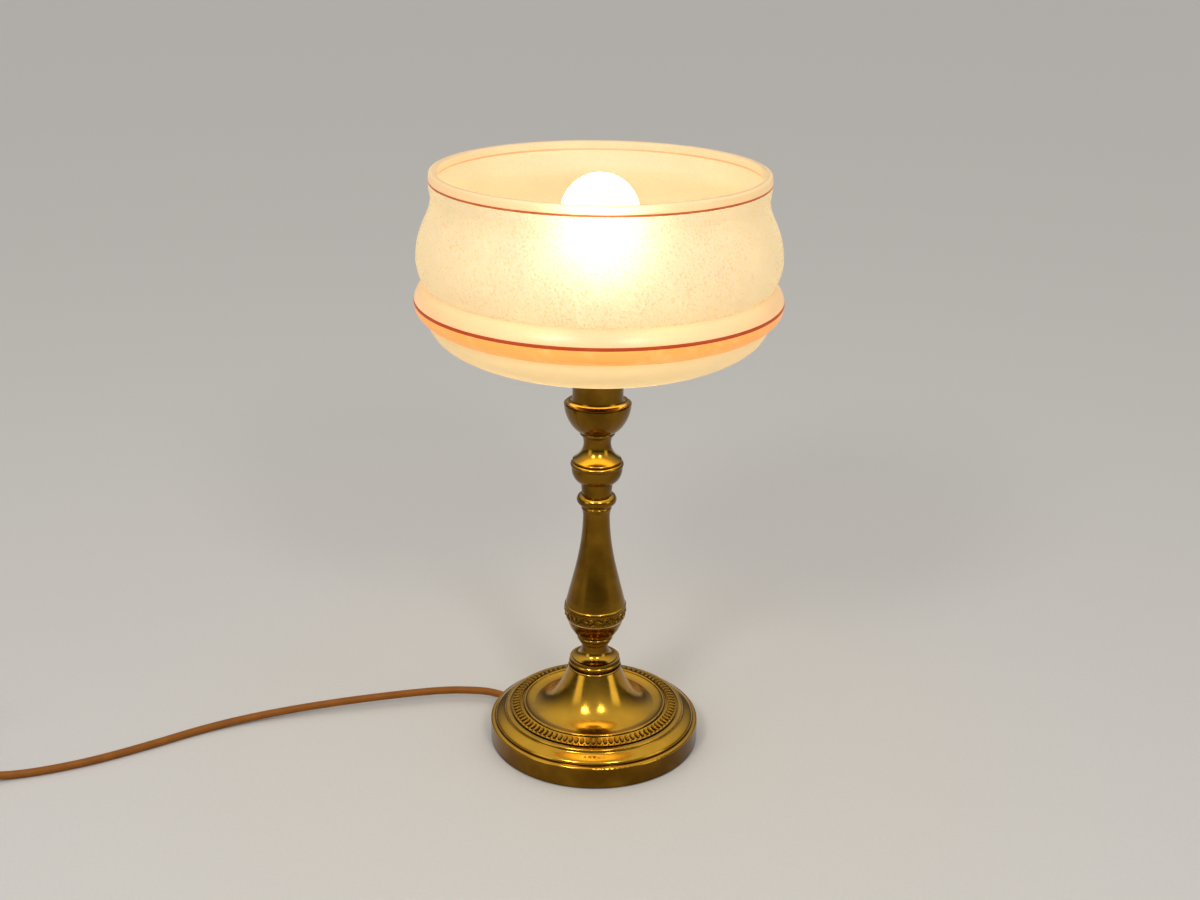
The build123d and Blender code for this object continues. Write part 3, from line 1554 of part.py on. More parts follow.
# Plug: moulded body, two round pins and two earth clips
plug_axis = Plane(origin=plug_start, x_dir=tail_direction.cross(Vector(0, 0, 1)), z_dir=tail_direction)
plug_profile = Plane(origin=plug_start, x_dir=tail_direction, z_dir=tail_direction.cross(Vector(0, 0, 1)))
plug_length = plug_nose + plug_grip + plug_front
grip_end = plug_nose + plug_grip
pin_places = [(-pin_spacing / 2, 0), (pin_spacing / 2, 0)]
clip_radius = plug_radius - clip_depth
with BuildPart() as plug_body:
    with BuildSketch(plug_profile):
        with BuildLine():
            Polyline(
                (cord_in_plug, 0),
                (cord_in_plug, cord_radius + cord_gap),
                (0, cord_radius + cord_gap),
                (0, plug_nose_radius),
                (plug_nose, plug_shoulder_radius),
                (plug_nose, plug_grip_radius),
            )
            Bezier(
                (plug_nose, plug_grip_radius),
                (plug_nose + plug_grip / 2, plug_grip_radius),
                (plug_nose + plug_grip / 2, plug_radius),
                (grip_end, plug_radius),
            )
            front_start = plug_length - plug_front_round
            Line((grip_end, plug_radius), (front_start, plug_radius))
            Line((front_start, plug_radius), (plug_length, plug_radius - plug_front_round))
            Polyline((plug_length, plug_radius - plug_front_round), (plug_length, 0), (cord_in_plug, 0))
        make_face()
    revolve(axis=Axis(plug_start, tail_direction))
    with BuildSketch(plug_axis.offset(plug_length - pin_embed)):
        with Locations(*pin_places):
            Circle(pin_root_radius + thread_clearance)
    extrude(amount=pin_embed, mode=Mode.SUBTRACT)
    with BuildSketch(plug_axis.offset(plug_length - clip_length)):
        with Locations((0, plug_radius - clip_depth / 2), (0, -plug_radius + clip_depth / 2)):
            Rectangle(clip_width + 2 * cord_gap, clip_depth)
    extrude(amount=clip_length, mode=Mode.SUBTRACT)
finish(plug_body, "plug_body")

with BuildPart() as plug_pins:
    with BuildSketch(plug_axis.offset(plug_length - pin_embed)):
        with Locations(*pin_places):
            Circle(pin_root_radius)
    extrude(amount=pin_embed)
    with BuildSketch(plug_axis.offset(plug_length)):
        with Locations(*pin_places):
            Circle(pin_radius)
    extrude(amount=pin_length)
    ends = plug_pins.faces().filter_by(GeomType.PLANE)
    tips = ends.sort_by(lambda face: face.center().dot(tail_direction))[-2:]
    fillet(tips.edges(), pin_round)
finish(plug_pins, "plug_pins")

with BuildPart() as plug_clips:
    with BuildSketch(plug_axis.offset(plug_length - clip_length)):
        with Locations((0, clip_radius + clip_thickness / 2), (0, -clip_radius - clip_thickness / 2)):
            Rectangle(clip_width, clip_thickness)
    extrude(amount=clip_length)
finish(plug_clips, "plug_clips")

through_switch = switch_length - 2 * cord_in_switch
whole_length = lead_length + through_switch + linking_length + coil_length + tail_run - cord_in_plug
print("flex from the foot to the plug", round(whole_length, 1))
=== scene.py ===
"""Looks of a candlestick table lamp: brass foot and stem, painted glass shade, bulb, flex, switch and plug.

All places are in metres in the lamp's own frame: +Z up, origin under the middle of the foot.
"""

from math import atan2, cos, hypot, pi, radians, sin, tau

import bmesh
import bpy
from bpy.props import FloatProperty, FloatVectorProperty, IntProperty, PointerProperty
from mathutils import Matrix, Vector


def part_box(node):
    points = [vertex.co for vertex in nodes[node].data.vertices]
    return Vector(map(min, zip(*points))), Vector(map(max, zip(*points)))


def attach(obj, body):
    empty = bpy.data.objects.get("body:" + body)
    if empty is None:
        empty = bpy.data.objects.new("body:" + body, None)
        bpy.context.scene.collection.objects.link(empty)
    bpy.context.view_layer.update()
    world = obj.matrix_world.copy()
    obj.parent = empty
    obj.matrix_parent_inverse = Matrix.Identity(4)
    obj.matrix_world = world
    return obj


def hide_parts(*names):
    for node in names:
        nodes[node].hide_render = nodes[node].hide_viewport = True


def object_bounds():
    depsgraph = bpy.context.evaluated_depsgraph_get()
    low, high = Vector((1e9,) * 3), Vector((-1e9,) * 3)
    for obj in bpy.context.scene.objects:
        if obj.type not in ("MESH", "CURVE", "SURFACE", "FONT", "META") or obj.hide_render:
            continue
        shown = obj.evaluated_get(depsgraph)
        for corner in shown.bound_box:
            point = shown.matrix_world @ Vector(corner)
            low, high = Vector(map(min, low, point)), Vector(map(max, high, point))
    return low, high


bl_info = {
    "name": "Candlestick table lamp",
    "version": (1, 0, 0),
    "blender": (4, 5, 0),
    "location": "3D View > Sidebar > Lamp",
    "description": "Finishes, ornament, glass, flex and stage of a candlestick table lamp",
    "category": "Object",
}

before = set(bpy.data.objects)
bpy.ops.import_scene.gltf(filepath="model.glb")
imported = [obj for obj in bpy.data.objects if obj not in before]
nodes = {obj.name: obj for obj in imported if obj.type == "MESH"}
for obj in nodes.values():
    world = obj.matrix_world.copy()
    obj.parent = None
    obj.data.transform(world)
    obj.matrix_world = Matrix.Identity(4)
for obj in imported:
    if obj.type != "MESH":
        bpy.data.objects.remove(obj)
cad_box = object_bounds()

MM = 0.001
GLASS_IOR = 1.5


def linear(code):
    """Linear RGBA of an sRGB hex colour."""
    channels = [int(code[start : start + 2], 16) / 255 for start in (1, 3, 5)]
    light = [c / 12.92 if c <= 0.04045 else ((c + 0.055) / 1.055) ** 2.4 for c in channels]
    return (*light, 1.0)


# Sizes and colours that a user would change


def length_property(name, description, length):
    """A length that starts at a value in metres."""
    return FloatProperty(name=name, description=description, default=length, unit="LENGTH")


class LampSizes(bpy.types.PropertyGroup):
    """Sizes of what is added to the lamp."""

    leaf_count: IntProperty(
        name="Foot tongues", description="Tongues in the band round the foot", default=88, min=12
    )
    leaf_height: length_property("Tongue height", "How far a foot tongue stands up", 1.1 * MM)
    vine_count: IntProperty(
        name="Vine waves", description="Waves of the vine round the bowl", default=14, min=4
    )
    vine_radius: length_property("Vine radius", "Radius of the vine on the bowl", 0.65 * MM)
    flex_radius: length_property("Flex radius", "Radius of the flex", 3.25 * MM)
    flex_length: length_property("Flex length", "Flex from the foot to the plug", 1.83)
    shade_grain: length_property("Shade grain", "Width of a pebble of the frosting", 1.5 * MM)
    knurl_count: IntProperty(
        name="Knurls", description="Grip ridges round the shade ring", default=72, min=12
    )
    thread_pitch: length_property("Thread pitch", "Pitch of the lampholder thread", 3.0 * MM)
    bulb_light: FloatProperty(name="Bulb light", description="Strength of the lit bulb", default=10.0, min=0)


def colour_property(name, description, code):
    """A colour that starts at an sRGB hex value."""
    return FloatVectorProperty(
        name=name, description=description, subtype="COLOR", size=4, min=0, max=1, default=linear(code)
    )


class LampColours(bpy.types.PropertyGroup):
    """Colours of the lamp's finishes."""

    brass: colour_property("Brass", "Clean polished brass", "#C0902C")
    # Dull brass is also the colour of the painted shade on the brass's sides and in its hollows
    dull_and_shaded_brass: colour_property("Dull brass", "Brass under aged lacquer", "#65450F")
    patina: colour_property("Patina", "Brown left in grooves and seams", "#2B1A06")
    glass: colour_property("Glass", "Cream of the shade", "#FFF8E6")
    ridge: colour_property("Ridge", "Clear fired ridge and rim of the shade", "#FFE4BA")
    line: colour_property("Line", "Red-brown painted lines", "#A83A06")
    band: colour_property("Band", "Orange painted band", "#FFAE55")
    bulb: colour_property("Bulb", "Warm white of the bulb", "#FFF7E8")
    flex: colour_property("Flex", "Brown sheath of the flex", "#93560E")
    plastic: colour_property("Plastic", "Brown moulded switch and plug", "#4A2D17")
    felt: colour_property("Felt", "Green felt under the foot", "#2F5238")
    floor: colour_property("Floor", "Pale floor", "#C4C0BA")


def sizes():
    return bpy.context.scene.lamp_sizes


def colours():
    return bpy.context.scene.lamp_colours


# Materials


def put(tree, kind, settings=None, inputs=None):
    """Adds a node of a kind with its settings, and gives its inputs values or links."""
    node = tree.nodes.new(kind)
    for name, value in (settings or {}).items():
        setattr(node, name, value)
    for socket, value in (inputs or {}).items():
        if isinstance(value, bpy.types.NodeSocket):
            tree.links.new(value, node.inputs[socket])
        else:
            node.inputs[socket].default_value = value
    return node


def noise(tree, place, size, detail, roughness=0.5, distortion=0.0):
    """Noise over a place, with features of a size."""
    inputs = {"Vector": place, "Scale": 1 / size, "Detail": detail, "Roughness": roughness}
    inputs["Distortion"] = distortion
    return put(tree, "ShaderNodeTexNoise", None, inputs).outputs[0]


def ranged(tree, value, low, high, start=0.0, end=1.0, eased=False):
    """A value taken from one range to another."""
    settings = {"interpolation_type": "SMOOTHSTEP" if eased else "LINEAR"}
    inputs = {"Value": value, "From Min": low, "From Max": high, "To Min": start, "To Max": end}
    return put(tree, "ShaderNodeMapRange", settings, inputs).outputs[0]


def reckon(tree, operation, *values, clamp=False):
    """The outcome of an operation on values."""
    settings = {"operation": operation, "use_clamp": clamp}
    return put(tree, "ShaderNodeMath", settings, dict(enumerate(values))).outputs[0]


def blend(tree, share, first, second, kind="MIX"):
    """The second colour laid over the first by a share."""
    settings = {"data_type": "RGBA", "blend_type": kind}
    return put(tree, "ShaderNodeMix", settings, {0: share, 6: first, 7: second}).outputs[2]


def bump(tree, height, strength, depth):
    """The way a skin faces when a height of a depth is pressed into it."""
    inputs = {"Strength": strength, "Distance": depth, "Height": height}
    return put(tree, "ShaderNodeBump", None, inputs).outputs[0]


def openness(tree, reach):
    """How open a place is within a reach, from a deep groove at 0 to a bare outside at 1."""
    return put(tree, "ShaderNodeAmbientOcclusion", {"samples": 8}, {"Distance": reach}).outputs["AO"]


def part(tree, vector, axis):
    """One of a vector's three values."""
    return put(tree, "ShaderNodeSeparateXYZ", None, {0: vector}).outputs[axis]


def vectors(tree, operation, *values):
    """The node of an operation on vectors."""
    return put(tree, "ShaderNodeVectorMath", {"operation": operation}, dict(enumerate(values)))


def levelled(tree, vector):
    """A vector without its height."""
    return vectors(tree, "MULTIPLY", vector, (1, 1, 0)).outputs[0]


def off_axis(tree, place):
    """How far a place is from the lamp's axis."""
    return vectors(tree, "LENGTH", levelled(tree, place)).outputs["Value"]


def start_material(name):
    """A new material, its tree without nodes, and its Object coordinates."""
    material = bpy.data.materials.new(name)
    material.use_nodes = True
    tree = material.node_tree
    tree.nodes.clear()
    return material, tree, put(tree, "ShaderNodeTexCoord").outputs["Object"]


def close_material(material, inputs):
    """Ends a material in one Principled shader."""
    tree = material.node_tree
    shader = put(tree, "ShaderNodeBsdfPrincipled", None, inputs)
    put(tree, "ShaderNodeOutputMaterial", None, {"Surface": shader.outputs["BSDF"]})
    return material


def polished_brass(name, browned, shade_rise):
    """Turned and polished brass with painted shade on its sides and in broad hollows, and patina in each
    groove.

    Browned is the share of brown on open metal. The shade rise gives how far up a face looks where the
    painted side shade starts to lift, and where it is gone.
    """
    material, tree, place = start_material(name)
    cloud_size = 28 * MM
    smear_size = 7 * MM
    ring_width = 1.5 * MM  # real lathe rings are finer, and are drawn this wide to show
    ring_depth = 0.12 * MM
    groove_reach = 5 * MM
    hollow_shade_reach = 40 * MM
    cloud_age = 0.30
    side_shade_share = 0.80
    hollow_shade_share = 0.55
    groove_grime = 0.95
    grime_dulls = 0.35
    clouded = ranged(tree, noise(tree, place, cloud_size, 3.0), 0.40, 0.70, 0.0, cloud_age)
    rise = part(tree, put(tree, "ShaderNodeTexCoord").outputs["Normal"], "Z")
    # Painted shade: faces that look sideways or down are darkened by the way they face
    painted_side_shade = ranged(tree, rise, *shade_rise, side_shade_share, 0.0)
    sides = reckon(tree, "ADD", clouded, painted_side_shade, clamp=True)
    # Painted shade: broad hollows near other parts are darkened by occlusion within the hollow reach
    painted_hollow_shade = ranged(tree, openness(tree, hollow_shade_reach), 0.25, 0.85, hollow_shade_share, 0.0)
    # Random age clouds and the painted shade, whichever is darker
    age_and_shade = reckon(tree, "MAXIMUM", sides, painted_hollow_shade)
    metal = blend(tree, age_and_shade, colours().brass, colours().dull_and_shaded_brass)
    grime = ranged(tree, openness(tree, groove_reach), 0.30, 0.75, groove_grime, browned)
    gloss = ranged(tree, noise(tree, place, smear_size, 3.0, 0.6), 0.35, 0.7, 0.12, 0.22)
    turned = put(tree, "ShaderNodeCombineXYZ", None, {0: off_axis(tree, place), 2: part(tree, place, "Z")})
    rings = noise(tree, turned.outputs[0], ring_width, 2.0)
    return close_material(material, {
        "Base Color": blend(tree, grime, metal, colours().patina),
        "Metallic": 1.0,
        "Roughness": reckon(tree, "MULTIPLY_ADD", grime, grime_dulls, gloss),
        "Normal": bump(tree, rings, 0.08, ring_depth),
    })


def fittings_metal(name, clean, worn, smooth, rough, grain):
    """Plated, pressed or cast fittings: two close tones in patches, and a fine grain in gloss and relief."""
    material, tree, place = start_material(name)
    patch_size = 9 * MM
    grain_depth = 0.1 * MM
    patch = ranged(tree, noise(tree, place, patch_size, 4.0), 0.35, 0.68)
    speck = noise(tree, place, grain, 3.0)
    return close_material(material, {
        "Base Color": blend(tree, patch, linear(clean), linear(worn)),
        "Metallic": 1.0,
        "Roughness": ranged(tree, speck, 0.3, 0.7, smooth, rough),
        "Normal": bump(tree, speck, 0.25, grain_depth),
    })


def moulded(name, tone, shadow, smooth, rough, pebble, depth, gleam=0.5):
    """Moulded plastic, rubber or glaze: an even colour, clouded a little, with a fine mould texture."""
    material, tree, place = start_material(name)
    cloud_size = 14 * MM
    cloud = noise(tree, place, cloud_size, 3.0)
    return close_material(material, {
        "Base Color": blend(tree, cloud, tone, linear(shadow)),
        "Roughness": ranged(tree, cloud, 0.3, 0.7, smooth, rough),
        "Specular IOR Level": gleam,
        "Normal": bump(tree, noise(tree, place, pebble, 2.0), 0.3, depth),
    })


def wool_felt(name, tone, fibre):
    """Pressed wool felt: a matt nap of crossed fibres, lighter where they stand up."""
    material, tree, place = start_material(name)
    nap_size = 1.1 * MM
    nap_depth = 0.4 * MM
    tuft_size = 6 * MM
    nap = noise(tree, place, nap_size, 5.0, distortion=1.2)
    lie = reckon(tree, "MULTIPLY", nap, noise(tree, place, tuft_size, 3.0))
    return close_material(material, {
        "Base Color": blend(tree, ranged(tree, lie, 0.12, 0.42), tone, linear(fibre)),
        "Roughness": 0.95,
        "Sheen Weight": 0.35,
        "Sheen Roughness": 0.6,
        "Normal": bump(tree, nap, 0.7, nap_depth),
    })


def shade_glass(name, tone, glow, strength, depth, speckle, clear=0.65, roughness=0.52, fade=None):
    """Pressed glass lit from inside: cream with a pebbled or fired skin, and a painted glow in its emission
    that stands for the bulb's light scattered in the glass.

    A fade is the radius where the light starts to fall off, the one where it ends, and the share left there.
    """
    material, tree, place = start_material(name)
    cloud_size = 45 * MM
    crease_shade_reach = 9 * MM
    crease_shade_share = 0.74
    cloud_share = 0.94
    grain = noise(tree, place, sizes().shade_grain, 2.0, 0.55)
    speck = ranged(tree, grain, 0.40, 0.60, speckle, 1.0)
    even = ranged(tree, noise(tree, place, cloud_size, 2.0), 0.3, 0.7, cloud_share, 1.0)
    # Painted shade: creases, such as the seam of the ridge, are darkened in both colour and glow
    painted_crease_shade = ranged(tree, openness(tree, crease_shade_reach), 0.45, 0.85, crease_shade_share, 1.0)
    grain_and_crease_shade = reckon(tree, "MULTIPLY", speck, reckon(tree, "MULTIPLY", painted_crease_shade, even))
    # Painted glow: the emission stands for the bulb's light coming through the glass
    light = blend(tree, 1.0, glow, grain_and_crease_shade, "MULTIPLY")
    if fade:
        near, far, share = fade
        reach = ranged(tree, off_axis(tree, place), near, far, 1.0, share, eased=True)
        light = blend(tree, 1.0, light, reach, "MULTIPLY")
    return close_material(material, {
        "Base Color": blend(tree, 1.0, tone, grain_and_crease_shade, "MULTIPLY"),
        "Roughness": roughness,
        "IOR": GLASS_IOR,
        "Transmission Weight": clear,
        "Emission Color": light,
        "Emission Strength": strength,
        "Normal": bump(tree, grain, 0.5, depth),
    })


def painted_enamel(name, tone, thin, strength, clear):
    """Enamel colour fired on the glass by hand: thicker and thinner along its way, and lit from behind."""
    material, tree, place = start_material(name)
    stroke_size = 16 * MM
    load = ranged(tree, noise(tree, place, stroke_size, 4.0, 0.65), 0.50, 0.76, 0.0, 0.8)
    enamel = blend(tree, load, tone, thin)
    return close_material(material, {
        "Base Color": enamel,
        "Roughness": 0.35,
        "IOR": GLASS_IOR,
        "Transmission Weight": clear,
        # Painted glow: the emission stands for the bulb's light through the enamel
        "Emission Color": enamel,
        "Emission Strength": strength,
    })


def lit_opal():
    """Opal bulb glass, lit: an even warm white that outshines its own surface."""
    material, tree, place = start_material("bulb_opal")
    cloud_size = 20 * MM
    cloud = noise(tree, place, cloud_size, 1.0)
    return close_material(material, {
        "Base Color": blend(tree, cloud, linear("#FFFDF8"), linear("#FBF3E4")),
        "Roughness": 0.12,
        "Emission Color": colours().bulb,
        "Emission Strength": sizes().bulb_light,
    })


def clear_glass():
    """Drawn soda glass tube: clear, with faint draw lines along it."""
    material, tree, place = start_material("clear_glass")
    line_width = 0.8 * MM
    line_depth = 0.1 * MM
    drawn = put(tree, "ShaderNodeMapping", None, {"Vector": place, "Scale": (1, 1, 0.1)})
    lines = noise(tree, drawn.outputs[0], line_width, 1.0)
    return close_material(material, {
        "Base Color": linear("#EAF2F0"),
        "Roughness": 0.03,
        "IOR": GLASS_IOR,
        "Transmission Weight": 1.0,
        "Normal": bump(tree, lines, 0.1, line_depth),
    })


def two_coloured_cores(name, first, second, turns):
    """Extruded core insulation in two colours, one on each side of the bundle."""
    material, tree, place = start_material(name)
    swing = 0.4 * MM
    lean = reckon(tree, "SINE", reckon(tree, "MULTIPLY", part(tree, place, "Z"), turns))
    offset = reckon(tree, "MULTIPLY_ADD", lean, swing, part(tree, place, "X"))
    side = reckon(tree, "GREATER_THAN", offset, 0.0)
    tone = blend(tree, side, linear(first), linear(second))
    return close_material(material, {"Base Color": tone, "Roughness": 0.45})


def pale_floor():
    """Plain matt studio paper with a faint tooth."""
    material, tree, place = start_material("pale_floor")
    tooth_size = 3 * MM
    tone = blend(tree, noise(tree, place, tooth_size, 3.0), colours().floor, linear("#BDB9B3"))
    return close_material(material, {"Base Color": tone, "Roughness": 0.8})


# Shaping


def deselect():
    bpy.ops.object.select_all(action="DESELECT")


def activate(piece):
    """Selects one piece and no other."""
    deselect()
    piece.select_set(True)
    bpy.context.view_layer.objects.active = piece


def apply_place():
    """Moves the active piece's place, turn and scale into its mesh."""
    bpy.ops.object.transform_apply(location=True, rotation=True, scale=True)


def edit_mesh(on):
    """Enters or leaves edit mode."""
    bpy.ops.object.mode_set(mode="EDIT" if on else "OBJECT")


def name_piece(piece, name, material):
    """Names a piece and its mesh, and gives it one material."""
    piece.name = name
    piece.data.name = name
    piece.data.materials.clear()
    piece.data.materials.append(material)
    return piece


def settle(piece, name, material, angle=30):
    """Applies a piece's place, closes its seams, points its faces outwards and smooths it."""
    activate(piece)
    apply_place()
    edit_mesh(True)
    bpy.ops.mesh.select_all(action="SELECT")
    bpy.ops.mesh.remove_doubles(threshold=0.001 * MM)
    bpy.ops.mesh.normals_make_consistent(inside=False)
    edit_mesh(False)
    bpy.ops.object.shade_smooth_by_angle(angle=radians(angle))
    return name_piece(piece, name, material)


def dress(piece, body, slot, *stands_for):
    """A piece rides on a body and stands for CAD nodes, which it hides. Its slot is not used."""
    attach(piece, body)
    if stands_for:
        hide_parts(*stands_for)
    return piece


def spun(outline, steps):
    """A closed mesh turned about Z from an outline of (radius, height) points."""
    deselect()
    bpy.ops.mesh.primitive_plane_add(size=MM, location=(0, 0, 0))
    piece = bpy.context.object
    edit_mesh(True)
    bpy.ops.mesh.select_mode(type="VERT")
    bpy.ops.mesh.merge(type="CENTER")
    bpy.ops.transform.translate(value=(outline[0][0], 0, outline[0][1]))
    for before, point in zip(outline, outline[1:]):
        step = (point[0] - before[0], 0, point[1] - before[1])
        bpy.ops.mesh.extrude_vertices_move(TRANSFORM_OT_translate={"value": step})
    bpy.ops.mesh.select_all(action="SELECT")
    bpy.ops.mesh.spin(steps=steps, angle=tau, center=(0, 0, 0), axis=(0, 0, 1))
    edit_mesh(False)
    return piece


def repeat_round(piece, count):
    """Copies a piece's mesh round the Z axis."""
    activate(piece)
    apply_place()
    edit_mesh(True)
    bpy.ops.mesh.select_all(action="SELECT")
    bpy.ops.mesh.spin(
        steps=count - 1, angle=tau * (count - 1) / count, center=(0, 0, 0), axis=(0, 0, 1), dupli=True
    )
    edit_mesh(False)
    return piece


def join(pieces):
    """Joins pieces into the first."""
    deselect()
    for piece in pieces:
        piece.select_set(True)
    bpy.context.view_layer.objects.active = pieces[0]
    bpy.ops.object.join()
    return pieces[0]


def pick_faces(piece, test):
    """Selects, in edit mode, only the faces that pass a test."""
    bpy.ops.mesh.select_mode(type="FACE")
    bpy.ops.mesh.select_all(action="DESELECT")
    shape = bmesh.from_edit_mesh(piece.data)
    for face in shape.faces:
        face.select_set(test(face))
    bmesh.update_edit_mesh(piece.data)


def dished_leaf(length, width, height, hollow):
    """An oval leaf along X with sloping sides and a hollow top."""
    crest = (0.86, 0.72, 1)
    lip = 0.16 * width
    dish = (0.9, 0.8, 1)
    deselect()
    bpy.ops.mesh.primitive_cylinder_add(vertices=14, radius=0.5, depth=1.0, location=(0, 0, 0))
    leaf = bpy.context.object
    leaf.scale = (length, width, height)
    apply_place()
    edit_mesh(True)
    pick_faces(leaf, lambda face: face.normal.z > 0.9)
    bpy.ops.transform.resize(value=crest)
    bpy.ops.mesh.inset(thickness=lip, depth=0)
    bpy.ops.transform.resize(value=dish)
    bpy.ops.transform.translate(value=(0, 0, -hollow))
    edit_mesh(False)
    return leaf


def round_bead(radius, place):
    """A flattened bead at a place."""
    pressed = (1, 1, 0.8)
    deselect()
    bpy.ops.mesh.primitive_uv_sphere_add(segments=10, ring_count=6, radius=radius, location=place)
    bead = bpy.context.object
    edit_mesh(True)
    bpy.ops.transform.resize(value=pressed)
    edit_mesh(False)
    return bead


def tube(name, points, radius, cyclic=False):
    """A smooth round tube along points, as a curve."""
    line = bpy.data.curves.new(name, "CURVE")
    line.dimensions = "3D"
    spline = line.splines.new("NURBS")
    spline.points.add(len(points) - 1)
    for target, point in zip(spline.points, points):
        target.co = (*point, 1)
    spline.order_u = 3
    spline.use_cyclic_u = cyclic
    spline.use_endpoint_u = not cyclic
    line.bevel_depth = radius
    line.bevel_resolution = 2
    line.resolution_u = 4
    line.use_fill_caps = not cyclic
    piece = bpy.data.objects.new(name, line)
    bpy.context.scene.collection.objects.link(piece)
    return piece


def meshed(piece):
    """Turns a curve into a mesh."""
    activate(piece)
    bpy.ops.object.convert(target="MESH")
    return bpy.context.object


def bezier(points, count):
    """Points along a cubic curve, without its first."""
    a, b, c, d = (Vector(point) for point in points)
    shares = [step / count for step in range(1, count + 1)]
    return [
        tuple(a * (1 - t) ** 3 + 3 * b * t * (1 - t) ** 2 + 3 * c * t**2 * (1 - t) + d * t**3)
        for t in shares
    ]


def arc(start, through, end, count):
    """Points along the arc through three points, without its first."""
    (ax, ay), (bx, by), (cx, cy) = start, through, end
    d = 2 * (ax * (by - cy) + bx * (cy - ay) + cx * (ay - by))
    a2, b2, c2 = ax * ax + ay * ay, bx * bx + by * by, cx * cx + cy * cy
    ux = (a2 * (by - cy) + b2 * (cy - ay) + c2 * (ay - by)) / d
    uy = (a2 * (cx - bx) + b2 * (ax - cx) + c2 * (bx - ax)) / d
    radius = hypot(ax - ux, ay - uy)
    first = atan2(ay - uy, ax - ux)
    sweep = (atan2(cy - uy, cx - ux) - first + pi) % tau - pi
    angles = [first + sweep * step / count for step in range(1, count + 1)]
    return [(ux + radius * cos(angle), uy + radius * sin(angle)) for angle in angles]


def bowed(start, end, bulge, count):
    """Points along an arc that bows to the right of its way by a bulge, without its first."""
    a, b = Vector(start), Vector(end)
    side = Vector((b.y - a.y, a.x - b.x)).normalized()
    return arc(start, (a + b) / 2 + side * bulge, end, count)


def straight(start, end, count):
    """Points along a line, without its first."""
    a, b = Vector(start), Vector(end)
    return [tuple(a.lerp(b, step / count)) for step in range(1, count + 1)]


def metres(points):
    """Points in millimetres as metres."""
    return [tuple(value * MM for value in point) for point in points]


def paint(material, *names):
    """Gives CAD nodes a material."""
    for name in names:
        nodes[name].data.materials.clear()
        nodes[name].data.materials.append(material)


# Pieces


class LAMP_OT_stage(bpy.types.Operator):
    """Sets the camera, the pale floor and the soft light"""

    bl_idname = "lamp.stage"
    bl_label = "Stage"

    camera_place = Vector((2.2, -1200, 712.8)) * MM
    camera_pitch = 20.738
    camera_roll = 0.741
    camera_lens = 48.30
    camera_sensor = 36.0
    floor_radius = 60.0
    soft_boxes = (
        ("left_box", (-0.75, -1.35, 1.55), 0.40, 11.0),
        ("right_box", (0.60, -1.45, 1.45), 0.30, 8.0),
    )
    windows = ((-1.30, -0.85, 0), (1.50, -0.55, 0))
    window_edge = (0.966, 0.9925)
    window_top = (0.35, 0.6)
    window_light = (1.6, 1.6, 1.6, 1)
    wall_top = (0.028, 0.048)
    wall_light = linear("#A8A5A0")
    ceiling_rise = (0.05, 0.9)
    ceiling_edge_light = (0.07, 0.069, 0.067, 1)
    ceiling_light = (1.0, 1.0, 1.0, 1)

    def execute(self, context):
        scene = context.scene
        scene.view_settings.view_transform = "Standard"
        view = bpy.data.cameras.new("camera")
        view.lens = self.camera_lens
        view.sensor_width = self.camera_sensor
        camera = bpy.data.objects.new("camera", view)
        tilt = Matrix.Rotation(radians(90 - self.camera_pitch), 4, "X")
        roll = Matrix.Rotation(radians(self.camera_roll), 4, "Z")
        camera.matrix_world = Matrix.Translation(self.camera_place) @ tilt @ roll
        scene.collection.objects.link(camera)
        scene.camera = camera

        deselect()
        bpy.ops.mesh.primitive_circle_add(
            vertices=96, radius=self.floor_radius, fill_type="NGON", location=(0, 0, 0)
        )
        floor = name_piece(context.object, "floor", pale_floor())

        for name, place, size, power in self.soft_boxes:
            self.soft_box(name, place, size, power)
        self.sky(scene)
        return {"FINISHED"}

    def soft_box(self, name, place, size, power):
        """A square soft light that faces the lamp."""
        light = bpy.data.lights.new(name, "AREA")
        light.shape = "SQUARE"
        light.size = size
        light.energy = power
        lamp_middle = (cad_box[0].z + cad_box[1].z) / 2
        piece = bpy.data.objects.new(name, light)
        piece.location = place
        aim = Vector((0, 0, lamp_middle)) - Vector(place)
        piece.rotation_euler = aim.to_track_quat("-Z", "Y").to_euler()
        bpy.context.scene.collection.objects.link(piece)

    def sky(self, scene):
        """Soft light from above, pale walls far off, and a soft window on each side."""
        world = bpy.data.worlds.new("studio")
        world.use_nodes = True
        tree = world.node_tree
        tree.nodes.clear()
        way = put(tree, "ShaderNodeTexCoord").outputs["Generated"]
        up = part(tree, way, "Z")
        lift = ranged(tree, up, *self.ceiling_rise, eased=True)
        light = blend(tree, lift, self.ceiling_edge_light, self.ceiling_light)
        bearing = vectors(tree, "NORMALIZE", levelled(tree, way)).outputs[0]
        low = ranged(tree, up, *self.window_top, 1.0, 0.0, eased=True)
        for window in self.windows:
            ahead = vectors(tree, "DOT_PRODUCT", bearing, Vector(window).normalized()).outputs["Value"]
            pane = ranged(tree, ahead, *self.window_edge, eased=True)
            light = blend(tree, reckon(tree, "MULTIPLY", pane, low), light, self.window_light)
        far = ranged(tree, up, *self.wall_top, 1.0, 0.0, eased=True)
        light = blend(tree, far, light, self.wall_light)
        shine = put(tree, "ShaderNodeBackground", None, {"Color": light, "Strength": 1.0})
        put(tree, "ShaderNodeOutputWorld", None, {"Surface": shine.outputs[0]})
        scene.world = world


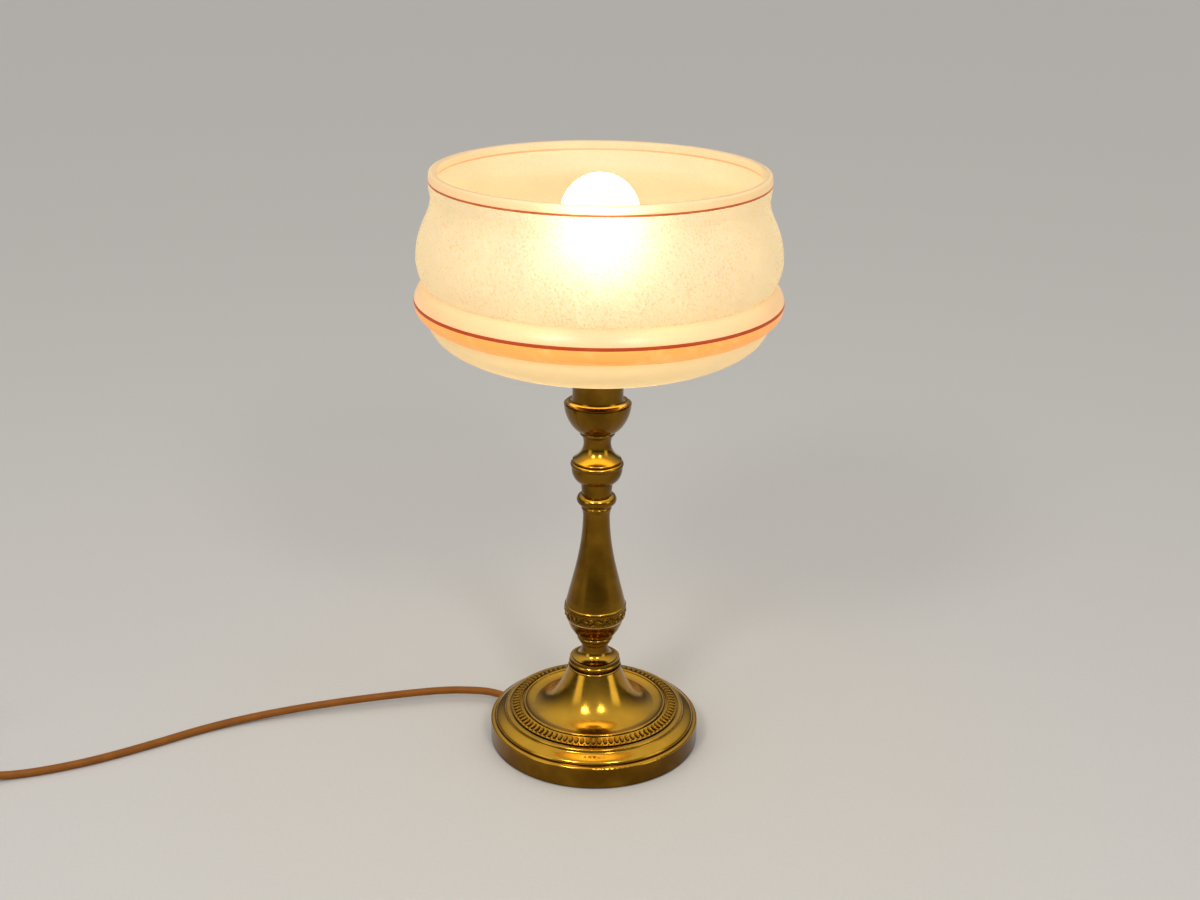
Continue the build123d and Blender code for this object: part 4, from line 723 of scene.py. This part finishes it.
class LAMP_OT_flex(bpy.types.Operator):
    """Lays the flex from the foot through the switch and the coil to the plug"""

    bl_idname = "lamp.flex"
    bl_label = "Flex"

    lead = [
        (-78.26, 47.02, 8.3), (-86.4, 51.92, 8.3), (-95.5, 54.7, 8.6),
        (-110.5, 55.7, 8.9), (-130.0, 55.0, 9.1), (-157.0, 50.0, 9.0),
        (-200.0, 39.4, 8.5), (-246.0, 27.4, 6.9), (-291.0, 13.0, 4.7),
        (-331.0, -6.5, 3.5), (-369.0, -33.6, 3.3), (-408.0, -58.7, 3.3),
        (-440.0, -73.6, 3.3), (-466.0, -82.4, 3.4), (-486.0, -88.4, 6.0),
        (-500.25, -92.62, 8.5), (-520.44, -98.41, 8.5),
    ]
    link = [
        (-560.81, -109.98, 8.5), (-581.96, -116.05, 8.5), (-596.37, -120.18, 5.2),
        (-609.83, -124.04, 4.25), (-614.64, -125.42, 4.25),
    ]
    tail = [
        (-641.26, -40.68, 11.25), (-633.69, -38.09, 11.25), (-620.45, -33.56, 14.4),
        (-608.15, -29.35, 18.5), (-588.28, -22.55, 18.5),
    ]
    coil_middle = (-634.151, -84.996)
    coil_start = 5.016813
    coil_reach = 22 * pi / 4
    coil_inner = 25.0
    coil_pitch = 7.0
    coil_floor = 4.25
    turn_points = 24

    def coil(self):
        """Turns that spiral in on the table, climb in half a turn, and spiral out on top."""
        count = round(2 * self.coil_reach / tau * self.turn_points)
        x, y = self.coil_middle
        points = []
        for step in range(count + 1):
            turn = self.coil_reach * (2 * step / count - 1)
            angle = self.coil_start - self.coil_reach - turn
            radius = self.coil_inner + self.coil_pitch * abs(turn) / tau
            climb = (1 + sin(max(-pi / 2, min(pi / 2, turn)))) / 2
            height = self.coil_floor + self.coil_pitch * climb
            points.append((x + radius * cos(angle), y + radius * sin(angle), height))
        return points

    def execute(self, context):
        route = metres(self.lead + self.link + self.coil() + self.tail)
        sheath = moulded(
            "brown_flex", colours().flex, "#6E3F0A",
            smooth=0.42, rough=0.56, pebble=1.6 * MM, depth=0.05 * MM, gleam=0.2,
        )
        flex = tube("flex", route, sizes().flex_radius)
        flex.data.resolution_u = 8
        flex.data.bevel_resolution = 6
        flex.data.materials.append(sheath)
        dress(flex, "lamp", "brown_flex", "cord_lead", "cord_link", "cord_coil", "cord_tail")
        paint(sheath, "cord_inlet")
        rubber = moulded(
            "bushing_rubber", linear("#1C1613"), "#120E0C",
            smooth=0.55, rough=0.7, pebble=0.9 * MM, depth=0.05 * MM,
        )
        paint(rubber, "cord_bushing")
        return {"FINISHED"}


class LAMP_OT_brass(bpy.types.Operator):
    """Polishes the turned brass of the foot, the stem and the shade's carrier"""

    bl_idname = "lamp.brass"
    bl_label = "Turned brass"

    # Face rises over which the painted side shade lifts, on the stem and on the foot
    stem_shade_rise = (0.15, 0.60)
    foot_shade_rise = (0.02, 0.40)
    chased_brown = 0.36
    plain_brown = 0.0

    def execute(self, context):
        polished_brass("chased_brass", self.chased_brown, self.stem_shade_rise)
        paint(polished_brass("foot_brass", self.plain_brown, self.foot_shade_rise), "base_foot")
        paint(
            polished_brass("polished_brass", self.plain_brown, self.stem_shade_rise),
            "lower_neck", "stem_bowl", "baluster", "bead_ring", "knop", "upper_neck", "cup",
            "candle_sleeve", "shade_carrier",
        )
        return {"FINISHED"}


class LAMP_OT_foot_band(bpy.types.Operator):
    """Chases the band of tongues, eggs and darts round the foot"""

    bl_idname = "lamp.foot_band"
    bl_label = "Foot band"

    inner_edge = Vector((61.2, 0, 32.3)) * MM
    outer_edge = Vector((69.8, 0, 29.4)) * MM
    tongue_share = 0.48
    tongue_length = 6.8 * MM
    tongue_width = 4.0 * MM
    tongue_hollow = 0.4 * MM
    egg_length = 3.6 * MM
    egg_width = 2 * tongue_width / 5.5
    dart_radius = 0.75 * MM
    dart_share = 0.88
    sink = 0.35 * MM

    def execute(self, context):
        count = sizes().leaf_count
        height = sizes().leaf_height
        slope = atan2(self.inner_edge.z - self.outer_edge.z, self.outer_edge.x - self.inner_edge.x)
        middle = self.inner_edge.lerp(self.outer_edge, self.tongue_share)
        tongue = dished_leaf(self.tongue_length, self.tongue_width, height + self.sink, self.tongue_hollow)
        tongue.rotation_euler = (0, slope, 0)
        lift = Vector((sin(slope), 0, cos(slope))) * ((height - self.sink) / 2)
        tongue.location = middle + lift
        egg = round_bead(1.0, (0, 0, 0))
        egg.scale = (self.egg_length / 2, self.egg_width / 2, height)
        egg.rotation_euler = (0, slope, 0)
        egg.location = middle
        half_pitch = Matrix.Rotation(pi / count, 4, "Z")
        dart_place = self.inner_edge.lerp(self.outer_edge, self.dart_share)
        dart = round_bead(self.dart_radius, half_pitch @ dart_place)
        band = repeat_round(join([tongue, egg, dart]), count)
        settle(band, "foot_tongues", bpy.data.materials["chased_brass"])
        dress(band, "lamp", "polished_brass")
        return {"FINISHED"}


class LAMP_OT_bowl_band(bpy.types.Operator):
    """Chases the vine with its leaves and berries round the bowl"""

    bl_idname = "lamp.bowl_band"
    bl_label = "Bowl band"

    outline = ((15.2, 95.6), (19.2, 99.3), (24.6, 108.8), (25.0, 122.0))
    middle = 116.8 * MM
    swing = 2.6 * MM
    proud = 0.1 * MM
    wave_steps = 16
    leaf_length = 5.8 * MM
    leaf_width = 2.8 * MM
    leaf_height = 1.7 * MM
    leaf_hollow = 0.45 * MM
    leaf_drop = 1.7 * MM
    leaf_tilt = 38.0
    leaf_shares = ((1, 0.32), (-1, 0.82))
    berry_radius = 0.95 * MM
    berry_drop = 2.4 * MM
    berry_shares = ((1, 0.02), (-1, 0.52))
    edge_height = 111.4 * MM
    edge_radius = 0.45 * MM
    edge_steps = 10

    def surface(self, height):
        """The bowl's radius at a height, and its slope outwards."""
        points = metres(bezier(self.outline, 60))
        for low, high in zip(points, points[1:]):
            if low[1] <= height <= high[1]:
                share = (height - low[1]) / (high[1] - low[1])
                return low[0] + share * (high[0] - low[0]), atan2(high[0] - low[0], high[1] - low[1])
        raise ValueError("the height is off the bowl")

    def on_bowl(self, angle, height):
        """A point on the bowl, a little proud of it."""
        radius, slope = self.surface(height)
        reach = radius + self.proud * cos(slope)
        return Vector((reach * cos(angle), reach * sin(angle), height - self.proud * sin(slope)))

    def seat(self, piece, angle, height, tilt):
        """Lays a piece made flat on XY against the bowl, turned by a tilt."""
        _, slope = self.surface(height)
        outward = Matrix.Rotation(angle, 4, "Z") @ Matrix.Rotation(pi / 2 + slope, 4, "Y")
        piece.matrix_world = (
            Matrix.Translation(self.on_bowl(angle, height))
            @ outward
            @ Matrix.Rotation(radians(90 + tilt), 4, "Z")
        )
        bpy.context.view_layer.update()

    def execute(self, context):
        count = sizes().vine_count
        wave = tau / count
        way = []
        for step in range(self.wave_steps + 1):
            share = step / self.wave_steps
            way.append(self.on_bowl(wave * share, self.middle + self.swing * sin(tau * share)))
        parts = [meshed(tube("vine", way, sizes().vine_radius))]
        for side, share in self.leaf_shares:
            leaf = dished_leaf(self.leaf_length, self.leaf_width, self.leaf_height, self.leaf_hollow)
            self.seat(leaf, wave * share, self.middle - side * self.leaf_drop, side * self.leaf_tilt)
            parts.append(leaf)
        for side, share in self.berry_shares:
            berry = round_bead(self.berry_radius, (0, 0, 0))
            self.seat(berry, wave * share, self.middle - side * self.berry_drop, 0)
            parts.append(berry)
        vine = repeat_round(join(parts), count)
        settle(vine, "bowl_vine", bpy.data.materials["chased_brass"])
        dress(vine, "lamp", "polished_brass")
        radius, _ = self.surface(self.edge_height)
        turns = [tau * step / self.edge_steps for step in range(self.edge_steps + 1)]
        ring = [
            (radius + self.edge_radius * cos(turn), self.edge_height + self.edge_radius * sin(turn))
            for turn in turns
        ]
        edge = settle(spun(ring, 144), "bowl_edge_line", bpy.data.materials["polished_brass"])
        dress(edge, "lamp", "polished_brass")
        return {"FINISHED"}


class LAMP_OT_shade(bpy.types.Operator):
    """Turns the glass shade and paints its lines and band"""

    bl_idname = "lamp.shade"
    bl_label = "Shade"

    hole = 21.0
    wall = 4.0
    seat = 334.0
    floor_edge = (45.0, 334.0)
    bowl_reach = (66.7, 132.5)
    belly_height = 9.9
    bowl_edge = (131.7, 371.1)
    foot = (132.7, 371.1)
    ridge = (142.0, 385.6)
    seam = (134.3, 398.4)
    bulge = (139.7, 416.1)
    neck_reach = (442.0, 447.9)
    throat = (127.5, 463.9)
    rim = (128.6, 482.6)
    rim_wall = 6.0
    rim_round = 2.0
    rim_steps = 5
    fold_rise = 1.4
    band_bow = 2.8
    shoulder_bow = 1.2
    swell_bow = 0.95
    rim_bow = 0.7
    top_line = (475.0, 476.6)
    ridge_line = (384.4, 386.8)
    foot_line = (371.0, 371.9)
    facing_in = 0.02
    facing_down = -0.5
    # Painted glow under the shade: brightest round the hole and falling off outwards, for the brass below to
    # reflect
    fade = (48 * MM, 114 * MM, 0.109)
    steps = 224

    def outline(self):
        """The shade's section in millimetres: outside from the hole up to the rim, then inside down again."""
        floor = self.seat + self.wall
        outside = [(self.hole, self.seat)]
        outside += straight(outside[-1], self.floor_edge, 4)
        low, high = (self.bowl_reach[0], self.seat), (self.bowl_reach[1], self.seat + self.belly_height)
        outside += bezier((self.floor_edge, low, high, self.bowl_edge), 28)
        outside += straight(self.bowl_edge, self.foot, 1)
        outside += bowed(self.foot, self.ridge, self.band_bow, 28)
        outside += bowed(self.ridge, self.seam, self.shoulder_bow, 24)
        outside += bowed(self.seam, self.bulge, self.swell_bow, 12)
        neck = ((self.bulge[0], self.neck_reach[0]), (self.throat[0], self.neck_reach[1]))
        outside += bezier((self.bulge, *neck, self.throat), 26)
        rim_start = (self.rim[0], self.rim[1] - self.rim_round)
        outside += bowed(self.throat, rim_start, self.rim_bow, 32)
        outside += self.quarter((rim_start[0] - self.rim_round, rim_start[1]), 0)

        rim_inside = (self.rim[0] - self.rim_wall, rim_start[1])
        inside = [(rim_inside[0] + self.rim_round, self.rim[1])]
        inside += self.quarter((rim_inside[0] + self.rim_round, rim_inside[1]), 90)
        throat, bulge, seam = (self.within(point) for point in (self.throat, self.bulge, self.seam))
        inside += bowed(rim_inside, throat, -self.rim_bow, 24)
        inside += bezier((throat, *(self.within(point) for point in neck[::-1]), bulge), 22)
        inside += bowed(bulge, seam, -self.swell_bow, 10)
        fold = self.within((self.ridge[0], self.ridge[1] + self.fold_rise))
        inside += bowed(seam, fold, -self.shoulder_bow, 10)
        heel = self.within((self.bowl_edge[0], self.bowl_edge[1] + self.fold_rise))
        inside += straight(fold, heel, 4)
        high, low = (high[0] - self.wall, high[1] + self.wall), (low[0], floor)
        inside += bezier((heel, high, low, (self.floor_edge[0], floor)), 22)
        inside += straight(inside[-1], (self.hole, floor), 4)
        inside += straight(inside[-1], (self.hole, self.seat), 3)
        return metres(outside + inside)

    def within(self, point):
        """A point of the outside moved in by the wall."""
        return (point[0] - self.wall, point[1])

    def quarter(self, centre, start):
        """A quarter round of the rim about a centre, from an angle on, without its first point."""
        angles = [radians(start + 90 * step / self.rim_steps) for step in range(1, self.rim_steps + 1)]
        return [
            (centre[0] + self.rim_round * cos(angle), centre[1] + self.rim_round * sin(angle))
            for angle in angles
        ]

    def zone(self, face):
        """Which finish a face has, by its place and the way it faces."""
        middle = face.center
        height = middle.z / MM
        outwards = Vector((middle.x, middle.y, 0)).normalized().dot(face.normal)
        # Inside faces take the inside finish, and at the top line's height a painted show-through of the
        # outer line
        if outwards <= self.facing_in and face.normal.z > self.facing_down:
            return "line_behind" if self.top_line[0] < height < self.top_line[1] else "inside"
        tops = (
            (self.foot_line[0], "bowl"),
            (self.foot_line[1], "foot_line"),
            (self.ridge_line[0], "band"),
            (self.ridge_line[1], "ridge_line"),
            (self.seam[1], "ridge"),
            (self.top_line[0], "body"),
            (self.top_line[1], "top_line"),
        )
        return next((finish for top, finish in tops if height < top), "ridge")

    def execute(self, context):
        tones = colours()
        glow = linear("#FFDE94")
        bowl_glow = linear("#FFE4A4")
        fired_glow = linear("#FFD796")
        warm = linear("#FFECC6")
        thin_line = linear("#B84A12")
        upper, thin_upper = linear("#AE4A14"), linear("#CC7436")
        behind, thin_behind = linear("#E0A672"), linear("#EDC08C")
        ochre, thin_ochre = linear("#D88F3A"), linear("#FFC274")
        # Each glass finish glows with painted light in its emission, strongest on the bowl's underside
        finishes = {
            "body": shade_glass(
                "shade_frosted", tones.glass, glow, strength=0.40, depth=0.35 * MM, speckle=0.66
            ),
            "inside": shade_glass("shade_inside", warm, glow, strength=0.06, depth=0.05 * MM, speckle=0.94),
            "ridge": shade_glass(
                "shade_fired", tones.ridge, fired_glow,
                strength=0.27, depth=0.02 * MM, speckle=0.96, clear=0.55, roughness=0.32,
            ),
            # The bowl's painted glow is strong, so the brass reflects a bright underside
            "bowl": shade_glass(
                "shade_bowl", warm, bowl_glow, strength=2.4, depth=0.04 * MM, speckle=0.94, fade=self.fade
            ),
            "band": painted_enamel("shade_band", tones.band, thin_ochre, strength=0.36, clear=0.35),
            "ridge_line": painted_enamel(
                "shade_ridge_line", tones.line, thin_line, strength=0.26, clear=0.08
            ),
            "top_line": painted_enamel("shade_top_line", upper, thin_upper, strength=0.28, clear=0.25),
            "line_behind": painted_enamel(
                "shade_line_behind", behind, thin_behind, strength=0.25, clear=0.4
            ),
            "foot_line": painted_enamel("shade_foot_line", ochre, thin_ochre, strength=0.30, clear=0.2),
        }
        shade = settle(spun(self.outline(), self.steps), "shade", finishes["body"], 40)
        order = list(finishes)
        for finish in order[1:]:
            shade.data.materials.append(finishes[finish])
        for face in shade.data.polygons:
            face.material_index = order.index(self.zone(face))
        dress(shade, "lamp", "shade_glass", "glass_shade")
        return {"FINISHED"}


class LAMP_OT_bulb(bpy.types.Operator):
    """Lights the bulb and finishes its cap and inner parts"""

    bl_idname = "lamp.bulb"
    bl_label = "Bulb"

    def execute(self, context):
        paint(lit_opal(), "bulb_glass")
        cap = fittings_metal("bulb_cap_metal", "#CFCCC4", "#AAA69C", smooth=0.22, rough=0.36, grain=0.9 * MM)
        solder = fittings_metal("bulb_solder", "#B5B5B3", "#8E8E8C", smooth=0.35, rough=0.55, grain=0.7 * MM)
        wire = fittings_metal("tungsten", "#5C5853", "#44413D", smooth=0.40, rough=0.55, grain=0.4 * MM)
        black = moulded(
            "bulb_black_glass", linear("#0B0B0D"), "#17171B",
            smooth=0.10, rough=0.2, pebble=2 * MM, depth=0.03 * MM,
        )
        paint(cap, "bulb_cap")
        paint(solder, "bulb_contact")
        paint(wire, "bulb_filament")
        paint(clear_glass(), "bulb_stem")
        paint(black, "bulb_insulator")
        return {"FINISHED"}


class LAMP_OT_lampholder(bpy.types.Operator):
    """Finishes the lampholder, cuts its thread and knurls the shade ring"""

    bl_idname = "lamp.lampholder"
    bl_label = "Lampholder"

    thread_start = 348.0 * MM
    thread_depth = 0.55 * MM
    thread_margin = 3 * MM
    thread_points = 20
    knurl_low = 340.2 * MM
    knurl_high = 343.6 * MM
    knurl_width = 1.3 * MM
    knurl_depth = 0.45 * MM
    knurl_crest = (1, 0.35, 0.8)

    def execute(self, context):
        satin = fittings_metal(
            "lampholder_brass", "#C79F55", "#A88143", smooth=0.28, rough=0.42, grain=0.8 * MM
        )
        turned = fittings_metal("plain_brass", "#C9A25A", "#A9843F", smooth=0.25, rough=0.42, grain=0.9 * MM)
        tinned = fittings_metal("tinned_shell", "#C8BFA6", "#AC9F80", smooth=0.25, rough=0.40, grain=0.8 * MM)
        porcelain = moulded(
            "porcelain", linear("#EFEAE0"), "#E4DCCD",
            smooth=0.08, rough=0.16, pebble=3 * MM, depth=0.03 * MM,
        )
        paint(satin, "holder_cap", "holder_mantle")
        paint(
            turned, "shade_ring", "holder_contact", "terminal_blocks", "terminal_screws", "switch_terminals"
        )
        paint(tinned, "holder_screw_shell")
        paint(porcelain, "holder_core")

        _, mantle_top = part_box("holder_mantle")
        pitch = sizes().thread_pitch
        turns = int((mantle_top.z - self.thread_margin - self.thread_start) / pitch)
        helix = []
        for step in range(turns * self.thread_points + 1):
            share = step / self.thread_points
            angle = tau * share
            height = self.thread_start + pitch * share
            helix.append((mantle_top.x * cos(angle), mantle_top.x * sin(angle), height))
        thread = settle(meshed(tube("thread", helix, self.thread_depth)), "lampholder_thread", satin)
        dress(thread, "lamp", "lampholder_shell")

        _, ring_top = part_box("shade_ring")
        deselect()
        bpy.ops.mesh.primitive_cube_add(size=1.0, location=(0, 0, 0))
        knurl = context.object
        knurl.scale = (2 * self.knurl_depth, self.knurl_width, self.knurl_high - self.knurl_low)
        knurl.location = (ring_top.x, 0, (self.knurl_low + self.knurl_high) / 2)
        apply_place()
        edit_mesh(True)
        pick_faces(knurl, lambda face: face.normal.x > 0.9)
        bpy.ops.transform.resize(value=self.knurl_crest)
        edit_mesh(False)
        settle(repeat_round(knurl, sizes().knurl_count), "shade_ring_knurl", turned, 20)
        dress(knurl, "lamp", "plain_brass")
        return {"FINISHED"}


class LAMP_OT_felts(bpy.types.Operator):
    """Cuts the felt under the foot and the two felts that hold the glass"""

    bl_idname = "lamp.felts"
    bl_label = "Felts"

    play = 0.12 * MM
    edge_round = 0.45 * MM
    lower_hole = 23.0 * MM
    upper_hole = 21.3 * MM

    def washer(self, node, inner, material, name, slot):
        """A felt disc or washer with soft edges in the space of its node."""
        low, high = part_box(node)
        bottom, top = low.z, high.z - self.play
        outer = high.x - self.play
        middle = (bottom + top) / 2
        crown = self.edge_round
        outline = [(inner + crown, bottom)]
        outline += straight(outline[-1], (outer - crown, bottom), 24)
        outline += arc(outline[-1], (outer, middle), (outer - crown, top), 8)
        outline += straight(outline[-1], (inner + crown, top), 24)
        if inner:
            outline += arc(outline[-1], (inner, middle), outline[0], 8)
        else:
            outline = [(0, bottom)] + outline + [(0, top)]
        felt = settle(spun(outline, 160), name, material, 50)
        dress(felt, "lamp", slot, node)
        return felt

    def execute(self, context):
        green = wool_felt("green_felt", colours().felt, "#4C7453")
        tan = wool_felt("tan_felt", linear("#8C7A58"), "#B3A17D")
        self.washer("felt_pad", 0.0, green, "base_felt", "green_felt")
        self.washer("carrier_cushion", self.lower_hole + self.play, tan, "lower_felt", "shade_felt")
        self.washer("ring_cushion", self.upper_hole + self.play, tan, "upper_felt", "shade_felt")
        return {"FINISHED"}


class LAMP_OT_switch(bpy.types.Operator):
    """Finishes the inline switch and the strap round the coil"""

    bl_idname = "lamp.switch"
    bl_label = "Switch and tie"

    def execute(self, context):
        brown = moulded(
            "switch_plastic", colours().plastic, "#3B2311",
            smooth=0.26, rough=0.38, pebble=1.2 * MM, depth=0.05 * MM,
        )
        paint(brown, "switch_base", "switch_cover", "switch_rocker", "coil_tie")
        return {"FINISHED"}


class LAMP_OT_plug(bpy.types.Operator):
    """Finishes the plug and ribs its nose"""

    bl_idname = "lamp.plug"
    bl_label = "Plug"

    start = Vector((-599.633, -26.436, 18.5)) * MM
    way = Vector((0.946173, 0.323661, 0))
    nose = 18.0 * MM
    nose_start = 4.6 * MM
    nose_end = 7.0 * MM
    nose_gap = 0.6 * MM
    bore = 3.4 * MM
    rib_count = 5
    rib_steps = 8
    rib_height = 0.75 * MM

    def execute(self, context):
        moulding = moulded(
            "plug_plastic", colours().plastic, "#3A2412",
            smooth=0.34, rough=0.48, pebble=1.1 * MM, depth=0.06 * MM,
        )
        nickel = fittings_metal("nickel_brass", "#C9C3B4", "#A9A290", smooth=0.16, rough=0.30, grain=1.1 * MM)
        paint(moulding, "plug_body")
        paint(nickel, "plug_pins", "plug_clips")
        steps = self.rib_steps * self.rib_count
        outline = [(self.bore, self.nose_gap)]
        for step in range(steps + 1):
            share = step / steps
            skin = self.nose_start + share * (self.nose_end - self.nose_start)
            swell = self.rib_height * abs(sin(pi * self.rib_count * share))
            outline.append((skin + swell, self.nose_gap + share * (self.nose - 2 * self.nose_gap)))
        outline.append((self.bore, self.nose - self.nose_gap))
        outline.append(outline[0])
        ribs = spun(outline, 64)
        turn = self.way.to_track_quat("Z", "Y").to_matrix().to_4x4()
        ribs.matrix_world = Matrix.Translation(self.start) @ turn
        settle(ribs, "plug_ribs", moulding)
        dress(ribs, "lamp", "plug_plastic")
        return {"FINISHED"}


class LAMP_OT_fittings(bpy.types.Operator):
    """Finishes the clamping, weighting and wiring inside the foot and the stem"""

    bl_idname = "lamp.fittings"
    bl_label = "Inner fittings"

    def execute(self, context):
        zinc = fittings_metal("zinc_steel", "#B9BAB6", "#97999A", smooth=0.28, rough=0.42, grain=0.9 * MM)
        iron = moulded(
            "ballast_iron", linear("#232322"), "#161615",
            smooth=0.55, rough=0.75, pebble=1.5 * MM, depth=0.3 * MM,
        )
        paint(
            zinc,
            "clamp_disc", "lock_washer", "earth_tag", "rod_nut", "threaded_rod", "stem_washer", "stem_nut",
            "switch_pin", "switch_screws",
        )
        paint(iron, "ballast_ring")
        paint(two_coloured_cores("core_blue_brown", "#5A3517", "#2B5C9B", turns=0.0), "supply_cores")
        paint(two_coloured_cores("core_green_yellow", "#3E7A2E", "#D7C23A", turns=500.0), "earth_core")
        return {"FINISHED"}


class LAMP_OT_declare_flex(bpy.types.Operator):
    """A step that changes nothing"""

    bl_idname = "lamp.declare_flex"
    bl_label = "Declare flex"

    def execute(self, context):
        return {"FINISHED"}


STEPS = (
    LAMP_OT_stage,
    LAMP_OT_flex,
    LAMP_OT_brass,
    LAMP_OT_foot_band,
    LAMP_OT_bowl_band,
    LAMP_OT_shade,
    LAMP_OT_bulb,
    LAMP_OT_lampholder,
    LAMP_OT_felts,
    LAMP_OT_switch,
    LAMP_OT_plug,
    LAMP_OT_fittings,
    LAMP_OT_declare_flex,
)


class LAMP_PT_panel(bpy.types.Panel):
    """The lamp's sizes, colours and steps in the sidebar"""

    bl_idname = "LAMP_PT_panel"
    bl_label = "Candlestick lamp"
    bl_space_type = "VIEW_3D"
    bl_region_type = "UI"
    bl_category = "Lamp"

    def draw(self, context):
        for group in (context.scene.lamp_sizes, context.scene.lamp_colours):
            column = self.layout.column()
            for name in group.__annotations__:
                column.prop(group, name)
        for step in STEPS:
            self.layout.operator(step.bl_idname)


CLASSES = (LampSizes, LampColours, *STEPS, LAMP_PT_panel)


def register():
    for item in CLASSES:
        bpy.utils.register_class(item)
    bpy.types.Scene.lamp_sizes = PointerProperty(type=LampSizes)
    bpy.types.Scene.lamp_colours = PointerProperty(type=LampColours)


def unregister():
    del bpy.types.Scene.lamp_colours
    del bpy.types.Scene.lamp_sizes
    for item in reversed(CLASSES):
        bpy.utils.unregister_class(item)


def main():
    register()
    deselect()
    bpy.ops.lamp.stage()
    bpy.ops.lamp.flex()
    bpy.ops.lamp.brass()
    bpy.ops.lamp.foot_band()
    bpy.ops.lamp.bowl_band()
    bpy.ops.lamp.shade()
    bpy.ops.lamp.bulb()
    bpy.ops.lamp.lampholder()
    bpy.ops.lamp.felts()
    bpy.ops.lamp.switch()
    bpy.ops.lamp.plug()
    bpy.ops.lamp.fittings()
    bpy.ops.lamp.declare_flex()


if __name__ == "__main__":
    main()
